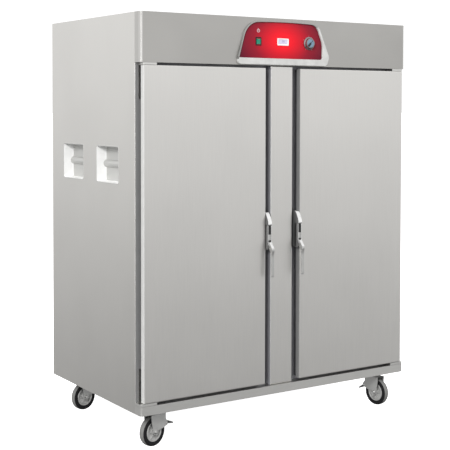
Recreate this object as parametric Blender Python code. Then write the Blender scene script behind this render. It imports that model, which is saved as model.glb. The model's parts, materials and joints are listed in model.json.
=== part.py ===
"""A two-door proofing cabinet on four swivel casters, built as an assembly of separate pieces.

Metres, +Z up. The doors face -Y and +X is the cabinet's right-hand side as seen from the front. The
origin lies on the floor, in the middle of the assembly's width and depth.
"""

import math

import bmesh
import bpy
from mathutils import Matrix, Vector

# Driving dimensions of the carcass.
WIDTH = 1.450
BODY_DEPTH = 0.840
BODY_HEIGHT = 1.690
CASTER_HEIGHT = 0.155
WALL = 0.060
SHEET = 0.0012
GAP = 0.0003

# How far things stand in front of the carcass's front plane, and behind its back.
OVERLAY = 0.050
LATCH_REACH = 0.047
GLAND_REACH = 0.023

# Levels above the bottom of the rail.
RAIL_HEIGHT = 0.0385
DOOR_LOW = 0.050
DOOR_HIGH = 1.468
HEADER_LOW = 1.479
OPENING_LOW = 0.085
OPENING_HIGH = 1.435

# Half widths, measured from the middle of the cabinet.
MULLION_HALF = 0.061
BAND_HALF = 0.115
DOOR_INNER = 0.094
DOOR_OUTER = 0.709
MULLION_STAND = 0.041

# Doors, their gaskets and the pivots at their outer corners.
DOOR_SKIN_DEPTH = 0.025
PANEL_LIP = 0.0255
PANEL_DISH = 0.0040
DISH_CLEARANCE = 0.003
GASKET_INSET = 0.0045
GASKET_WIDTH = 0.016
PIVOT_INSET = 0.015
PIVOT_DEPTH = 0.035
PIN_RADIUS = 0.004
PIN_HOLE_RADIUS = 0.0046

# Casters.
WHEEL_RADIUS = 0.0625
WHEEL_WIDTH = 0.032
TYRE_STEPS = 32
TRAIL = 0.032
RIM_RADIUS = 0.0430
CASTER_X = 0.600
CASTER_FRONT = 0.032
CASTER_REAR = 0.714
PEDAL_PIN_X = 0.034
PEDAL_PIN_Z = 0.088
PEDAL_UP = math.radians(8)
PEDAL_DOWN = math.radians(30)

# Tray ladders.
LEVELS = 8
LEVEL_PITCH = 0.150
FIRST_LEVEL = 0.230
WEB_OUTER = 0.620
WEB_INNER = 0.150
POST_WIDTH = 0.038
LEDGE = 0.028

# Places worked out from the driving dimensions.
TOTAL_DEPTH = LATCH_REACH + OVERLAY + BODY_DEPTH + GLAND_REACH
FRONT = -TOTAL_DEPTH / 2 + LATCH_REACH + OVERLAY
BACK = FRONT + BODY_DEPTH
FACE = FRONT - OVERLAY
SIDE = WIDTH / 2
LINER_SIDE = SIDE - WALL
BOTTOM = CASTER_HEIGHT
TOP = BOTTOM + BODY_HEIGHT
RAIL_TOP = BOTTOM + RAIL_HEIGHT
DOOR_BOTTOM = BOTTOM + DOOR_LOW
DOOR_TOP = BOTTOM + DOOR_HIGH
HEADER_BOTTOM = BOTTOM + HEADER_LOW
OPENING_BOTTOM = BOTTOM + OPENING_LOW
OPENING_TOP = BOTTOM + OPENING_HIGH
AXLE_HEIGHT = WHEEL_RADIUS * math.cos(math.pi / TYRE_STEPS)
PIVOT_X = DOOR_OUTER - PIVOT_INSET
PIVOT_Y = FRONT - PIVOT_DEPTH

# Finishes: colour, roughness, metallic.
BRUSHED = ((0.62, 0.62, 0.60), 0.34, 1.0)
LINER_STEEL = ((0.66, 0.66, 0.65), 0.28, 1.0)
CHROME = ((0.80, 0.80, 0.80), 0.10, 1.0)
ZINC = ((0.58, 0.59, 0.60), 0.32, 1.0)
RED = ((0.72, 0.02, 0.05), 0.25, 0.0)
SILVER_PLASTIC = ((0.70, 0.70, 0.69), 0.35, 0.4)
BLACK_PLASTIC = ((0.02, 0.02, 0.02), 0.40, 0.0)
GREEN_PLASTIC = ((0.02, 0.25, 0.13), 0.30, 0.0)
DISPLAY_WHITE = ((0.85, 0.84, 0.88), 0.20, 0.0)
GREY_PLASTIC = ((0.42, 0.42, 0.42), 0.45, 0.0)
GASKET_RUBBER = ((0.05, 0.05, 0.05), 0.75, 0.0)
TYRE_RUBBER = ((0.02, 0.02, 0.02), 0.70, 0.0)
SHEATH = ((0.30, 0.28, 0.26), 0.50, 1.0)


# ---------------------------------------------------------------- shapes


def closed_mesh(build):
    """A mesh filled in by build(bm), with its faces turned outwards."""
    bm = bmesh.new()
    build(bm)
    bmesh.ops.recalc_face_normals(bm, faces=bm.faces)
    mesh = bpy.data.meshes.new("shape")
    bm.to_mesh(mesh)
    bm.free()
    return mesh


def block(x, y, z):
    """A box between the low and high value of each axis."""

    def build(bm):
        bmesh.ops.create_cube(bm, size=1)
        for corner in bm.verts:
            corner.co = [limits[0] if c < 0 else limits[1] for c, limits in zip(corner.co, (x, y, z))]

    return closed_mesh(build)


def prism(outline, axis, low, high):
    """An outline extruded along an axis. Its points are the other two coordinates, in X, Y, Z order."""

    def place(point, along):
        values = list(point)
        values.insert("xyz".index(axis), along)
        return values

    def build(bm):
        ends = [[bm.verts.new(place(point, along)) for point in outline] for along in (low, high)]
        bm.faces.new(ends[0])
        bm.faces.new(ends[1])
        for i in range(len(outline)):
            j = (i + 1) % len(outline)
            bm.faces.new((ends[0][i], ends[0][j], ends[1][j], ends[1][i]))

    return closed_mesh(build)


def turned(profile, axis, centre, steps):
    """A ring: the closed profile of (radius, distance along the axis) turned about the axis."""
    first, second = {"x": (1, 2), "y": (0, 2), "z": (0, 1)}[axis]

    def build(bm):
        rings = []
        for step in range(steps):
            angle = 2 * math.pi * (step + 0.5) / steps - math.pi / 2
            ring = []
            for radius, along in profile:
                point = Vector(centre)
                point["xyz".index(axis)] += along
                point[first] += radius * math.cos(angle)
                point[second] += radius * math.sin(angle)
                ring.append(bm.verts.new(point))
            rings.append(ring)
        for step in range(steps):
            here, there = rings[step], rings[(step + 1) % steps]
            for i in range(len(profile)):
                j = (i + 1) % len(profile)
                bm.faces.new((here[i], here[j], there[j], there[i]))

    return closed_mesh(build)


def disc(radius, axis, centre, low, high, steps=20):
    """A solid cylinder about an axis through centre, from low to high along it."""
    first, second = [c for i, c in enumerate(centre) if i != "xyz".index(axis)]
    return prism(arc(first, second, radius, 0, 2 * math.pi * (1 - 1 / steps), steps), axis, low, high)


def arc(x, y, radius, start, end, points):
    """Points along an arc, from one angle to another."""
    turns = [start + (end - start) * i / (points - 1) for i in range(points)]
    return [(x + radius * math.cos(turn), y + radius * math.sin(turn)) for turn in turns]


def rounded(corners, steps=5):
    """A closed outline whose corners, given as (x, y, radius), are rounded off."""
    outline = []
    for i, (x, y, radius) in enumerate(corners):
        corner = Vector((x, y))
        before = (Vector(corners[i - 1][:2]) - corner).normalized()
        after = (Vector(corners[(i + 1) % len(corners)][:2]) - corner).normalized()
        half = before.angle(after) / 2
        centre = corner + (before + after).normalized() * radius / math.sin(half)
        start = corner + before * radius / math.tan(half) - centre
        end = corner + after * radius / math.tan(half) - centre
        turn = start.angle_signed(end)
        for step in range(steps):
            outline.append(tuple(centre + Matrix.Rotation(-turn * step / (steps - 1), 2) @ start))
    return outline


def combined(operation, first, *others):
    """Meshes joined, or cut from the first one, with an exact Boolean."""
    for other in others:
        base = bpy.data.objects.new("base", first)
        tool = bpy.data.objects.new("tool", other)
        for helper in (base, tool):
            bpy.context.scene.collection.objects.link(helper)
        boolean = base.modifiers.new("boolean", "BOOLEAN")
        boolean.operation = operation
        boolean.solver = "EXACT"
        boolean.object = tool
        graph = bpy.context.evaluated_depsgraph_get()
        first = bpy.data.meshes.new_from_object(base.evaluated_get(graph))
        for helper in (base, tool):
            bpy.data.objects.remove(helper)
    return first


def union(first, *others):
    return combined("UNION", first, *others)


def cut(first, *others):
    return combined("DIFFERENCE", first, *others)


def pan(x, y, z, open_side, wall=SHEET):
    """A thin-walled box that is open on one side, such as "+y"."""
    hollow = {"x": [x[0] + wall, x[1] - wall], "y": [y[0] + wall, y[1] - wall], "z": [z[0] + wall, z[1] - wall]}
    end = 1 if open_side[0] == "+" else 0
    hollow[open_side[1]][end] += 2 * wall if end else -2 * wall
    return cut(block(x, y, z), block(hollow["x"], hollow["y"], hollow["z"]))


def span(side, inner, outer):
    """The range of x between two distances from the middle, on the left (-1) or the right (+1)."""
    return tuple(sorted((side * inner, side * outer)))


# ---------------------------------------------------------------- objects


def clear_scene():
    for obj in list(bpy.data.objects):
        bpy.data.objects.remove(obj)


def finish_of(name, finish):
    colour, roughness, metallic = finish
    material = bpy.data.materials.new(name + "_finish")
    material.use_nodes = True
    shader = material.node_tree.nodes["Principled BSDF"]
    shader.inputs["Base Color"].default_value = (*colour, 1)
    shader.inputs["Roughness"].default_value = roughness
    shader.inputs["Metallic"].default_value = metallic
    return material


def add(name, mesh, finish, parent=None, origin=(0, 0, 0), local=False):
    """Makes the object of one piece. A local mesh is already drawn about its parent's or its own origin."""
    mesh = mesh.copy()
    mesh.name = name
    if not local:
        mesh.transform(Matrix.Translation(-Vector(origin)))
    mesh.materials.clear()
    mesh.materials.append(finish_of(name, finish))
    mesh.shade_smooth()
    mesh.set_sharp_from_angle(angle=math.radians(30))
    obj = bpy.data.objects.new(name, mesh)
    bpy.context.scene.collection.objects.link(obj)
    obj.location = origin
    if parent:
        obj.parent = parent
        if not local:
            obj.matrix_parent_inverse = Matrix.Translation(-parent.location)
    return obj


def pivot(name, location, turn=0.0):
    """An empty on a joint's axis, which carries the pieces that move about it."""
    empty = bpy.data.objects.new(name, None)
    bpy.context.scene.collection.objects.link(empty)
    empty.location = location
    empty.rotation_euler.z = turn
    return empty


# ---------------------------------------------------------------- carcass

SIDES = {"left": -1, "right": 1}
POCKET_HALF_WIDTH = 0.104
POCKET_HALF_HEIGHT = 0.079
POCKET_DEPTH = 0.049
POCKET_HEIGHT = BOTTOM + 1.042
POCKET_PLACES = {"front": FRONT + 0.255, "rear": FRONT + 0.603}
RIB_HALF_HEIGHT = 0.017
RIB_DEPTH = 0.016
ROOF_FLANGE = 0.020
BACK_FLANGE = 0.015
BASE_FLANGE = 0.020


def pocket_box(side, place, margin, depth):
    """The space of a hand pocket, grown sideways by a margin, from just outside the skin inwards."""
    return block(
        span(side, SIDE - depth, SIDE + SHEET),
        (place - POCKET_HALF_WIDTH - margin, place + POCKET_HALF_WIDTH + margin),
        (POCKET_HEIGHT - POCKET_HALF_HEIGHT - margin, POCKET_HEIGHT + POCKET_HALF_HEIGHT + margin),
    )


def side_panel(side):
    """Outer skin with the front jamb folded inwards, and windows for the two hand pockets."""
    outline = [
        (side * SIDE, BACK),
        (side * SIDE, FRONT),
        (side * LINER_SIDE, FRONT),
        (side * LINER_SIDE, FRONT + SHEET),
        (side * (SIDE - SHEET), FRONT + SHEET),
        (side * (SIDE - SHEET), BACK),
    ]
    windows = [pocket_box(side, place, GAP, 3 * SHEET) for place in POCKET_PLACES.values()]
    return cut(prism(outline, "z", BOTTOM, TOP), *windows)


def hand_pocket(side, place):
    """Recessed pan with a half-round rib across the middle of its back wall."""
    y = (place - POCKET_HALF_WIDTH, place + POCKET_HALF_WIDTH)
    z = (POCKET_HEIGHT - POCKET_HALF_HEIGHT, POCKET_HEIGHT + POCKET_HALF_HEIGHT)
    tray = pan(span(side, SIDE - POCKET_DEPTH, SIDE), y, z, "+x" if side > 0 else "-x")
    root = SIDE - POCKET_DEPTH + SHEET / 2
    rib_arc = arc(0, 0, 1, -math.pi / 2, math.pi / 2, 9)
    rib = [(side * (root + c * RIB_DEPTH), POCKET_HEIGHT + s * RIB_HALF_HEIGHT) for c, s in rib_arc]
    return union(tray, prism(rib, "y", y[0] + SHEET / 2, y[1] - SHEET / 2))


def front_frame():
    """I-shaped sheet behind the doors: a band above the openings, one below, and one between them."""
    edge = LINER_SIDE - GAP
    low, high = BOTTOM + BASE_FLANGE, TOP - ROOF_FLANGE
    half = [(edge, low), (edge, OPENING_BOTTOM), (BAND_HALF, OPENING_BOTTOM), (BAND_HALF, OPENING_TOP)]
    half += [(edge, OPENING_TOP), (edge, high)]
    outline = half + [(-x, z) for x, z in reversed(half)]
    return prism(outline, "y", FRONT, FRONT + SHEET)


def header_fascia():
    """Deep fascia above the doors, open at the back, with a window behind the control panel."""
    shell = pan((-SIDE, SIDE), (FACE, FRONT - GAP), (HEADER_BOTTOM, TOP), "+y")
    window = block((-0.180, 0.175), (FACE - SHEET, FACE + 2 * SHEET), (BOTTOM + 1.550, BOTTOM + 1.650))
    return cut(shell, window)


def build_carcass():
    inner = SIDE - SHEET - GAP
    behind_frame = FRONT + SHEET + GAP
    for word, side in SIDES.items():
        add(f"{word}_side_panel", side_panel(side), BRUSHED)
        for place_word, place in POCKET_PLACES.items():
            add(f"{word}_{place_word}_hand_pocket", hand_pocket(side, place), BRUSHED)
    back_z = (BOTTOM, TOP - ROOF_FLANGE - GAP)
    add("back_panel", pan((-inner, inner), (BACK - BACK_FLANGE, BACK), back_z, "-y"), BRUSHED)
    roof_z = (TOP - ROOF_FLANGE, TOP)
    add("roof_panel", pan((-inner, inner), (behind_frame, BACK), roof_z, "-z"), BRUSHED)
    base_y = (behind_frame, BACK - BACK_FLANGE - GAP)
    add("base_pan", pan((-inner, inner), base_y, (BOTTOM, BOTTOM + BASE_FLANGE), "+z"), BRUSHED)
    add("front_frame", front_frame(), BRUSHED)
    add("header_fascia", header_fascia(), BRUSHED)
    rail_y = (FACE, FRONT - GAP)
    add("bottom_rail", pan((-SIDE, SIDE), rail_y, (BOTTOM, RAIL_TOP), "+y"), BRUSHED)
    mullion_y = (FRONT - MULLION_STAND, FRONT - GAP)
    mullion_z = (RAIL_TOP + GAP, HEADER_BOTTOM - GAP)
    add("mullion_cover", pan((-MULLION_HALF, MULLION_HALF), mullion_y, mullion_z, "+y"), BRUSHED)
    liner_z = (OPENING_BOTTOM - SHEET, OPENING_TOP + SHEET)
    liner = pan((-LINER_SIDE, LINER_SIDE), (behind_frame, BACK - WALL), liner_z, "-y")
    add("inner_liner", liner, LINER_STEEL)


# ---------------------------------------------------------------- doors

BRACKET_LENGTH = 0.063
BRACKET_CLEARANCE = 0.0005
BRACKET_SETBACK = 0.001
BRACKET_LEG = 0.140
LEG_THICKNESS = 0.003
PIN_DEPTH = 0.012


def door_skin(side):
    """Outer shell of a door, open at the back, with a pivot hole through its top and bottom edges."""
    x = span(side, DOOR_INNER, DOOR_OUTER)
    shell = pan(x, (FACE, FACE + DOOR_SKIN_DEPTH), (DOOR_BOTTOM, DOOR_TOP), "+y")
    hole = disc(PIN_HOLE_RADIUS, "z", (side * PIVOT_X, PIVOT_Y, 0), DOOR_BOTTOM - SHEET, DOOR_TOP + SHEET)
    return cut(shell, hole)


def seal_outline(side):
    """The x and z ranges of the gasket's outer edge, which stays inboard of the pivot."""
    x = span(side, DOOR_INNER + GASKET_INSET, PIVOT_X - GASKET_INSET)
    return x, (DOOR_BOTTOM + GASKET_INSET, DOOR_TOP - GASKET_INSET)


def door_inner_panel(side):
    """Sheet that closes the door's back, with the middle inside the gasket dished towards the cavity."""
    edge = SHEET + GAP
    rear = FRONT - PANEL_LIP
    plate_z = (DOOR_BOTTOM + edge, DOOR_TOP - edge)
    plate = block(span(side, DOOR_INNER + edge, DOOR_OUTER - edge), (rear - SHEET, rear), plate_z)
    x, z = seal_outline(side)
    inset = GASKET_WIDTH + DISH_CLEARANCE
    dish_x = (x[0] + inset, x[1] - inset)
    dish_z = (z[0] + inset, z[1] - inset)
    dish_y = (rear - SHEET / 2, FRONT - PANEL_DISH)
    hollow_x = (dish_x[0] + SHEET, dish_x[1] - SHEET)
    hollow_z = (dish_z[0] + SHEET, dish_z[1] - SHEET)
    hollow_y = (rear - 2 * SHEET, FRONT - PANEL_DISH - SHEET)
    return cut(union(plate, block(dish_x, dish_y, dish_z)), block(hollow_x, hollow_y, hollow_z))


def door_gasket(side):
    """Rectangular ring that seals the door against the front frame."""
    x, z = seal_outline(side)
    y = (FRONT - PANEL_LIP + GAP, FRONT - GAP)
    middle_x = (x[0] + GASKET_WIDTH, x[1] - GASKET_WIDTH)
    middle_z = (z[0] + GASKET_WIDTH, z[1] - GASKET_WIDTH)
    middle_y = (y[0] - SHEET, y[1] + SHEET)
    return cut(block(x, y, z), block(middle_x, middle_y, middle_z))


def hinge_bracket(side, level):
    """Block that fills the gap above (+1) or below (-1) a door's outer corner, with the pin that enters the door."""
    edge, limit, end = (DOOR_TOP, HEADER_BOTTOM, DOOR_OUTER) if level > 0 else (DOOR_BOTTOM, RAIL_TOP, SIDE)
    body_z = tuple(sorted((edge + level * BRACKET_CLEARANCE, limit - level * BRACKET_CLEARANCE)))
    body_y = (FACE + BRACKET_SETBACK, FRONT - GAP)
    body = block(span(side, DOOR_OUTER - BRACKET_LENGTH, end), body_y, body_z)
    leg_z = tuple(sorted((limit - level * SHEET, edge - level * BRACKET_LEG)))
    leg = block(span(side, PIVOT_X - 0.001, DOOR_OUTER), (FRONT - LEG_THICKNESS, FRONT - GAP), leg_z)
    pin_z = tuple(sorted((limit - level * SHEET, edge - level * PIN_DEPTH)))
    pin = disc(PIN_RADIUS, "z", (side * PIVOT_X, PIVOT_Y, 0), *pin_z, steps=16)
    return union(body, leg, pin)


def build_doors():
    for word, side in SIDES.items():
        hinge = pivot(f"{word}_door_hinge", (side * PIVOT_X, PIVOT_Y, 0))
        on_hinge = {"parent": hinge, "origin": tuple(hinge.location)}
        add(f"{word}_door_skin", door_skin(side), BRUSHED, **on_hinge)
        add(f"{word}_door_inner_panel", door_inner_panel(side), LINER_STEEL, **on_hinge)
        add(f"{word}_door_gasket", door_gasket(side), GASKET_RUBBER, **on_hinge)
        add(f"{word}_latch_body", latch_body(side), CHROME, **on_hinge)
        lever_pivot = pivot(f"{word}_latch_pivot", (side * LATCH_MIDDLE, LEVER_PIVOT_Y, LEVER_PIVOT_Z))
        on_pivot = {"parent": lever_pivot, "origin": tuple(lever_pivot.location)}
        add(f"{word}_latch_lever", latch_lever(side), CHROME, **on_pivot)
        for place, level in (("top", 1), ("bottom", -1)):
            add(f"{word}_{place}_hinge_bracket", hinge_bracket(side, level), ZINC)


# ---------------------------------------------------------------- latches

LATCH_TOP = BOTTOM + 0.825
LATCH_BOTTOM = BOTTOM + 0.655
LATCH_INNER = 0.0725
LATCH_OUTER = DOOR_INNER - GAP
LATCH_MIDDLE = (LATCH_INNER + LATCH_OUTER) / 2
LEVER_HALF = 0.007
LEVER_PIVOT_Y = FRONT - 0.070
LEVER_PIVOT_Z = BOTTOM + 0.679
LEVER_BORE = 0.0034
LEVER_PIN = 0.0030
LEVER_TIP = BOTTOM + 0.536


def latch_body(side):
    """Chrome casting on the door's edge: a sloped hood above two ears that hold the lever's pin."""
    outline = [
        (FRONT - 0.021, LATCH_TOP),
        (FRONT - 0.044, LATCH_TOP - 0.002),
        (FRONT - 0.066, LATCH_TOP - 0.034),
        (FRONT - 0.073, LATCH_TOP - 0.048),
        (FRONT - 0.072, LATCH_TOP - 0.058),
        (FRONT - 0.068, LATCH_TOP - 0.062),
        (FRONT - 0.068, LEVER_PIVOT_Z + 0.012),
        (FRONT - 0.078, LEVER_PIVOT_Z + 0.004),
        (FRONT - 0.078, LEVER_PIVOT_Z - 0.006),
        (FRONT - 0.060, LATCH_BOTTOM),
        (FRONT - 0.021, LATCH_BOTTOM),
    ]
    casting = prism(outline, "x", *span(side, LATCH_INNER, LATCH_OUTER))
    slot_x = span(side, LATCH_MIDDLE - LEVER_HALF - 0.0005, LATCH_MIDDLE + LEVER_HALF + 0.0005)
    slot = block(slot_x, (FRONT - 0.100, FRONT - 0.052), (LATCH_BOTTOM - 0.010, LATCH_TOP - 0.066))
    pin_x = span(side, LATCH_INNER + 0.001, LATCH_OUTER - 0.001)
    pin = disc(LEVER_PIN, "x", (0, LEVER_PIVOT_Y, LEVER_PIVOT_Z), *pin_x, steps=12)
    return union(cut(casting, slot), pin)


def latch_lever(side):
    """Lever on the pin: a short nose above it, a knuckle in front of it and a long blade hanging below."""
    pivot_z = LEVER_PIVOT_Z
    outline = [
        (FRONT - 0.063, pivot_z + 0.012),
        (FRONT - 0.072, pivot_z + 0.014),
        (FRONT - 0.080, pivot_z + 0.004),
        (FRONT - 0.095, pivot_z - 0.012),
        (FRONT - 0.097, pivot_z - 0.022),
        (FRONT - 0.095, pivot_z - 0.032),
        (FRONT - 0.0915, pivot_z - 0.040),
        (FRONT - 0.0930, LEVER_TIP + 0.006),
        (FRONT - 0.0915, LEVER_TIP + 0.001),
        (FRONT - 0.0890, LEVER_TIP),
        (FRONT - 0.0865, LEVER_TIP + 0.002),
        (FRONT - 0.0840, pivot_z - 0.038),
        (FRONT - 0.0740, pivot_z - 0.022),
        (FRONT - 0.0640, pivot_z - 0.009),
    ]
    lever = prism(outline, "x", *span(side, LATCH_MIDDLE - LEVER_HALF, LATCH_MIDDLE + LEVER_HALF))
    bore_x = span(side, LATCH_INNER, LATCH_OUTER)
    return cut(lever, disc(LEVER_BORE, "x", (0, LEVER_PIVOT_Y, LEVER_PIVOT_Z), *bore_x, steps=12))


# ---------------------------------------------------------------- controls

BEZEL_FRONT = FACE - 0.010
PLATE_FRONT = FACE - 0.005
BEZEL = [
    (-0.254, BOTTOM + 1.480, 0.018),
    (0.243, BOTTOM + 1.480, 0.022),
    (0.256, BOTTOM + 1.520, 0.030),
    (0.192, BOTTOM + 1.672, 0.045),
    (-0.202, BOTTOM + 1.672, 0.052),
]
PLATE = [
    (-0.248, BOTTOM + 1.511, 0.006),
    (0.214, BOTTOM + 1.511, 0.010),
    (0.214, BOTTOM + 1.585, 0.080),
    (0.180, BOTTOM + 1.665, 0.034),
    (-0.194, BOTTOM + 1.665, 0.044),
]
SWITCH_PLACE = (-0.139, BOTTOM + 1.584)
DISPLAY_PLACE = (-0.006, BOTTOM + 1.585)
KNOB_PLACE = (0.138, BOTTOM + 1.583)
ROCKER_TILT = math.radians(7)


def around(place, half_width, half_height, y):
    """A box about a place on the control face, between two depths."""
    return block((place[0] - half_width, place[0] + half_width), y, (place[1] - half_height, place[1] + half_height))


def grown(corners, by):
    """The corners of an outline moved outwards from its middle by about a distance."""
    middle_x = sum(corner[0] for corner in corners) / len(corners)
    middle_z = sum(corner[1] for corner in corners) / len(corners)
    moved = []
    for x, z, radius in corners:
        moved.append((x + math.copysign(by, x - middle_x), z + math.copysign(by, z - middle_z), radius + by))
    return moved


def control_bezel():
    """Silver moulding round the control face, wide below it and at its lower right corner."""
    body = prism(rounded(BEZEL), "y", BEZEL_FRONT, FACE - GAP)
    window = prism(rounded(grown(PLATE, GAP)), "y", BEZEL_FRONT - SHEET, FACE + SHEET)
    return cut(body, window)


def control_face():
    """Red plate with openings for the switch, the display and the thermostat's shaft."""
    plate = prism(rounded(PLATE), "y", PLATE_FRONT, FACE - GAP)
    through = (PLATE_FRONT - SHEET, FACE + SHEET)
    switch = around(SWITCH_PLACE, 0.0130, 0.0160, through)
    screen = around(DISPLAY_PLACE, 0.0280, 0.0130, through)
    shaft = disc(0.006, "y", (KNOB_PLACE[0], 0, KNOB_PLACE[1]), *through, steps=16)
    return cut(plate, switch, screen, shaft)


def power_switch_frame():
    """Flanged housing of the rocker, let into the control face."""
    flange = around(SWITCH_PLACE, 0.0152, 0.0185, (PLATE_FRONT - 0.003, PLATE_FRONT - GAP))
    body = around(SWITCH_PLACE, 0.0126, 0.0156, (PLATE_FRONT - 0.001, FACE + 0.022))
    well = around(SWITCH_PLACE, 0.0108, 0.0138, (PLATE_FRONT - 0.010, FACE + 0.016))
    return cut(union(flange, body), well)


def power_rocker():
    """V-backed rocker, drawn level and turned about its middle to its switched-on tilt."""
    outline = [(-0.0040, -0.0120), (-0.0028, 0.0), (-0.0040, 0.0120), (0.004, 0.0106), (0.008, 0.0030)]
    outline += [(0.008, -0.0030), (0.004, -0.0106)]
    mesh = prism(outline, "x", -0.0102, 0.0102)
    mesh.transform(Matrix.Rotation(ROCKER_TILT, 4, "X"))
    return mesh


def display_module():
    """Display block that passes through the control face, with a thin flange in front."""
    flange = around(DISPLAY_PLACE, 0.0310, 0.0160, (PLATE_FRONT - 0.002, PLATE_FRONT - GAP))
    body = around(DISPLAY_PLACE, 0.0275, 0.0125, (PLATE_FRONT - 0.001, FACE + 0.018))
    return union(flange, body)


def thermostat():
    """Thermostat body behind the control face, with its shaft standing through it."""
    body = around(KNOB_PLACE, 0.0225, 0.0225, (FACE, FACE + 0.032))
    shaft = disc(0.003, "y", (KNOB_PLACE[0], 0, KNOB_PLACE[1]), PLATE_FRONT - 0.012, FACE + 0.002, steps=12)
    return union(body, shaft)


def thermostat_knob():
    """Round knob with a skirt and a raised pointer, bored for the shaft, drawn about its own centre."""
    profile = [(0.0033, 0), (0.0295, 0), (0.0295, -0.003), (0.0250, -0.005), (0.0235, -0.013)]
    profile += [(0.0215, -0.015), (0.0033, -0.015)]
    body = turned(profile, "y", (0, 0, 0), 28)
    return union(body, block((-0.0025, 0.0025), (-0.0175, -0.010), (0.004, 0.0220)))


def build_controls():
    add("control_bezel", control_bezel(), SILVER_PLASTIC)
    add("control_face", control_face(), RED)
    add("power_switch_frame", power_switch_frame(), BLACK_PLASTIC)
    add("temperature_display", display_module(), DISPLAY_WHITE)
    add("thermostat", thermostat(), GREY_PLASTIC)
    rocker_at = (SWITCH_PLACE[0], PLATE_FRONT, SWITCH_PLACE[1])
    add("power_rocker", power_rocker(), GREEN_PLASTIC, origin=rocker_at, local=True)
    knob_at = (KNOB_PLACE[0], PLATE_FRONT - 0.001, KNOB_PLACE[1])
    add("thermostat_knob", thermostat_knob(), SILVER_PLASTIC, origin=knob_at, local=True)


# ---------------------------------------------------------------- inside the cavity

LADDER_BACK = BACK - WALL - 0.030
LADDER_FRONT = LADDER_BACK - 0.660
POST_DEPTH = 0.022
POST_WALL = 0.0015
POST_SETBACK = 0.060
LEDGE_LEAF = 0.016
ELEMENT_RADIUS = 0.004
ELEMENT_HEIGHT = 0.024
ELEMENT_HALF_WIDTH = 0.300
ELEMENT_BEND = 0.060
ELEMENT_SETBACK = 0.120


def ladder(side, web, outward):
    """Tray ladder: two channel posts joined by angle runners. Outward points from the trays to the posts."""
    posts = []
    z = (OPENING_BOTTOM + GAP, OPENING_TOP - GAP)
    back_of_post = web + outward * POST_WIDTH
    for y in (LADDER_FRONT + POST_SETBACK, LADDER_BACK - POST_SETBACK):
        outline = [
            (side * back_of_post, y - POST_DEPTH / 2),
            (side * web, y - POST_DEPTH / 2),
            (side * web, y + POST_DEPTH / 2),
            (side * back_of_post, y + POST_DEPTH / 2),
            (side * back_of_post, y + POST_DEPTH / 2 - POST_WALL),
            (side * (web + outward * POST_WALL), y + POST_DEPTH / 2 - POST_WALL),
            (side * (web + outward * POST_WALL), y - POST_DEPTH / 2 + POST_WALL),
            (side * back_of_post, y - POST_DEPTH / 2 + POST_WALL),
        ]
        posts.append(prism(outline, "z", *z))
    runners = []
    for level in range(LEVELS):
        ledge_z = BOTTOM + FIRST_LEVEL + level * LEVEL_PITCH
        leaf = web + outward * POST_WALL / 2
        tray_side = web - outward * POST_WALL
        outline = [
            (side * leaf, ledge_z - LEDGE_LEAF),
            (side * leaf, ledge_z),
            (side * (web - outward * LEDGE), ledge_z),
            (side * (web - outward * LEDGE), ledge_z - POST_WALL),
            (side * tray_side, ledge_z - POST_WALL),
            (side * tray_side, ledge_z - LEDGE_LEAF),
        ]
        runners.append(prism(outline, "y", LADDER_FRONT, LADDER_BACK))
    return union(*posts[:1], *runners, *posts[1:])


def element_route():
    """A U of sheathed element: from the back wall forwards, across in front, and back again."""
    back = BACK - WALL - SHEET - GAP
    front = LADDER_FRONT + ELEMENT_SETBACK
    z = OPENING_BOTTOM + ELEMENT_HEIGHT
    inner = ELEMENT_HALF_WIDTH - ELEMENT_BEND
    route = [(-ELEMENT_HALF_WIDTH, back)]
    route += arc(-inner, front + ELEMENT_BEND, ELEMENT_BEND, math.pi, 1.5 * math.pi, 7)
    route += arc(inner, front + ELEMENT_BEND, ELEMENT_BEND, 1.5 * math.pi, 2 * math.pi, 7)
    route.append((ELEMENT_HALF_WIDTH, back))
    return [(x, y, z) for x, y in route]


def heating_element():
    curve = bpy.data.curves.new("heating_element", "CURVE")
    curve.dimensions = "3D"
    curve.bevel_depth = ELEMENT_RADIUS
    curve.bevel_resolution = 2
    curve.use_fill_caps = True
    spline = curve.splines.new("POLY")
    route = element_route()
    spline.points.add(len(route) - 1)
    for point, place in zip(spline.points, route):
        point.co = (*place, 1)
    curve.materials.append(finish_of("heating_element", SHEATH))
    obj = bpy.data.objects.new("heating_element", curve)
    bpy.context.scene.collection.objects.link(obj)


def build_interior():
    ladders = {
        "left_outer": (-1, WEB_OUTER, 1),
        "left_centre": (-1, WEB_INNER, -1),
        "right_centre": (1, WEB_INNER, -1),
        "right_outer": (1, WEB_OUTER, 1),
    }
    for word, (side, web, outward) in ladders.items():
        add(f"{word}_tray_ladder", ladder(side, web, outward), LINER_STEEL)
    heating_element()
    floor = OPENING_BOTTOM + GAP
    water = pan((-0.220, 0.220), (-0.120, 0.180), (floor, floor + 0.065), "+z")
    add("water_pan", water, LINER_STEEL)


def build_cable_gland():
    """Hollow gland at the top of the back, where the supply cord would enter."""
    profile = [(0.005, GAP), (0.016, GAP), (0.016, 0.007), (0.012, 0.009), (0.012, 0.019)]
    profile += [(0.009, GLAND_REACH), (0.005, GLAND_REACH)]
    add("cable_gland", turned(profile, "y", (0.520, BACK, TOP - 0.110), 18), BLACK_PLASTIC)


# ---------------------------------------------------------------- casters

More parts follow.
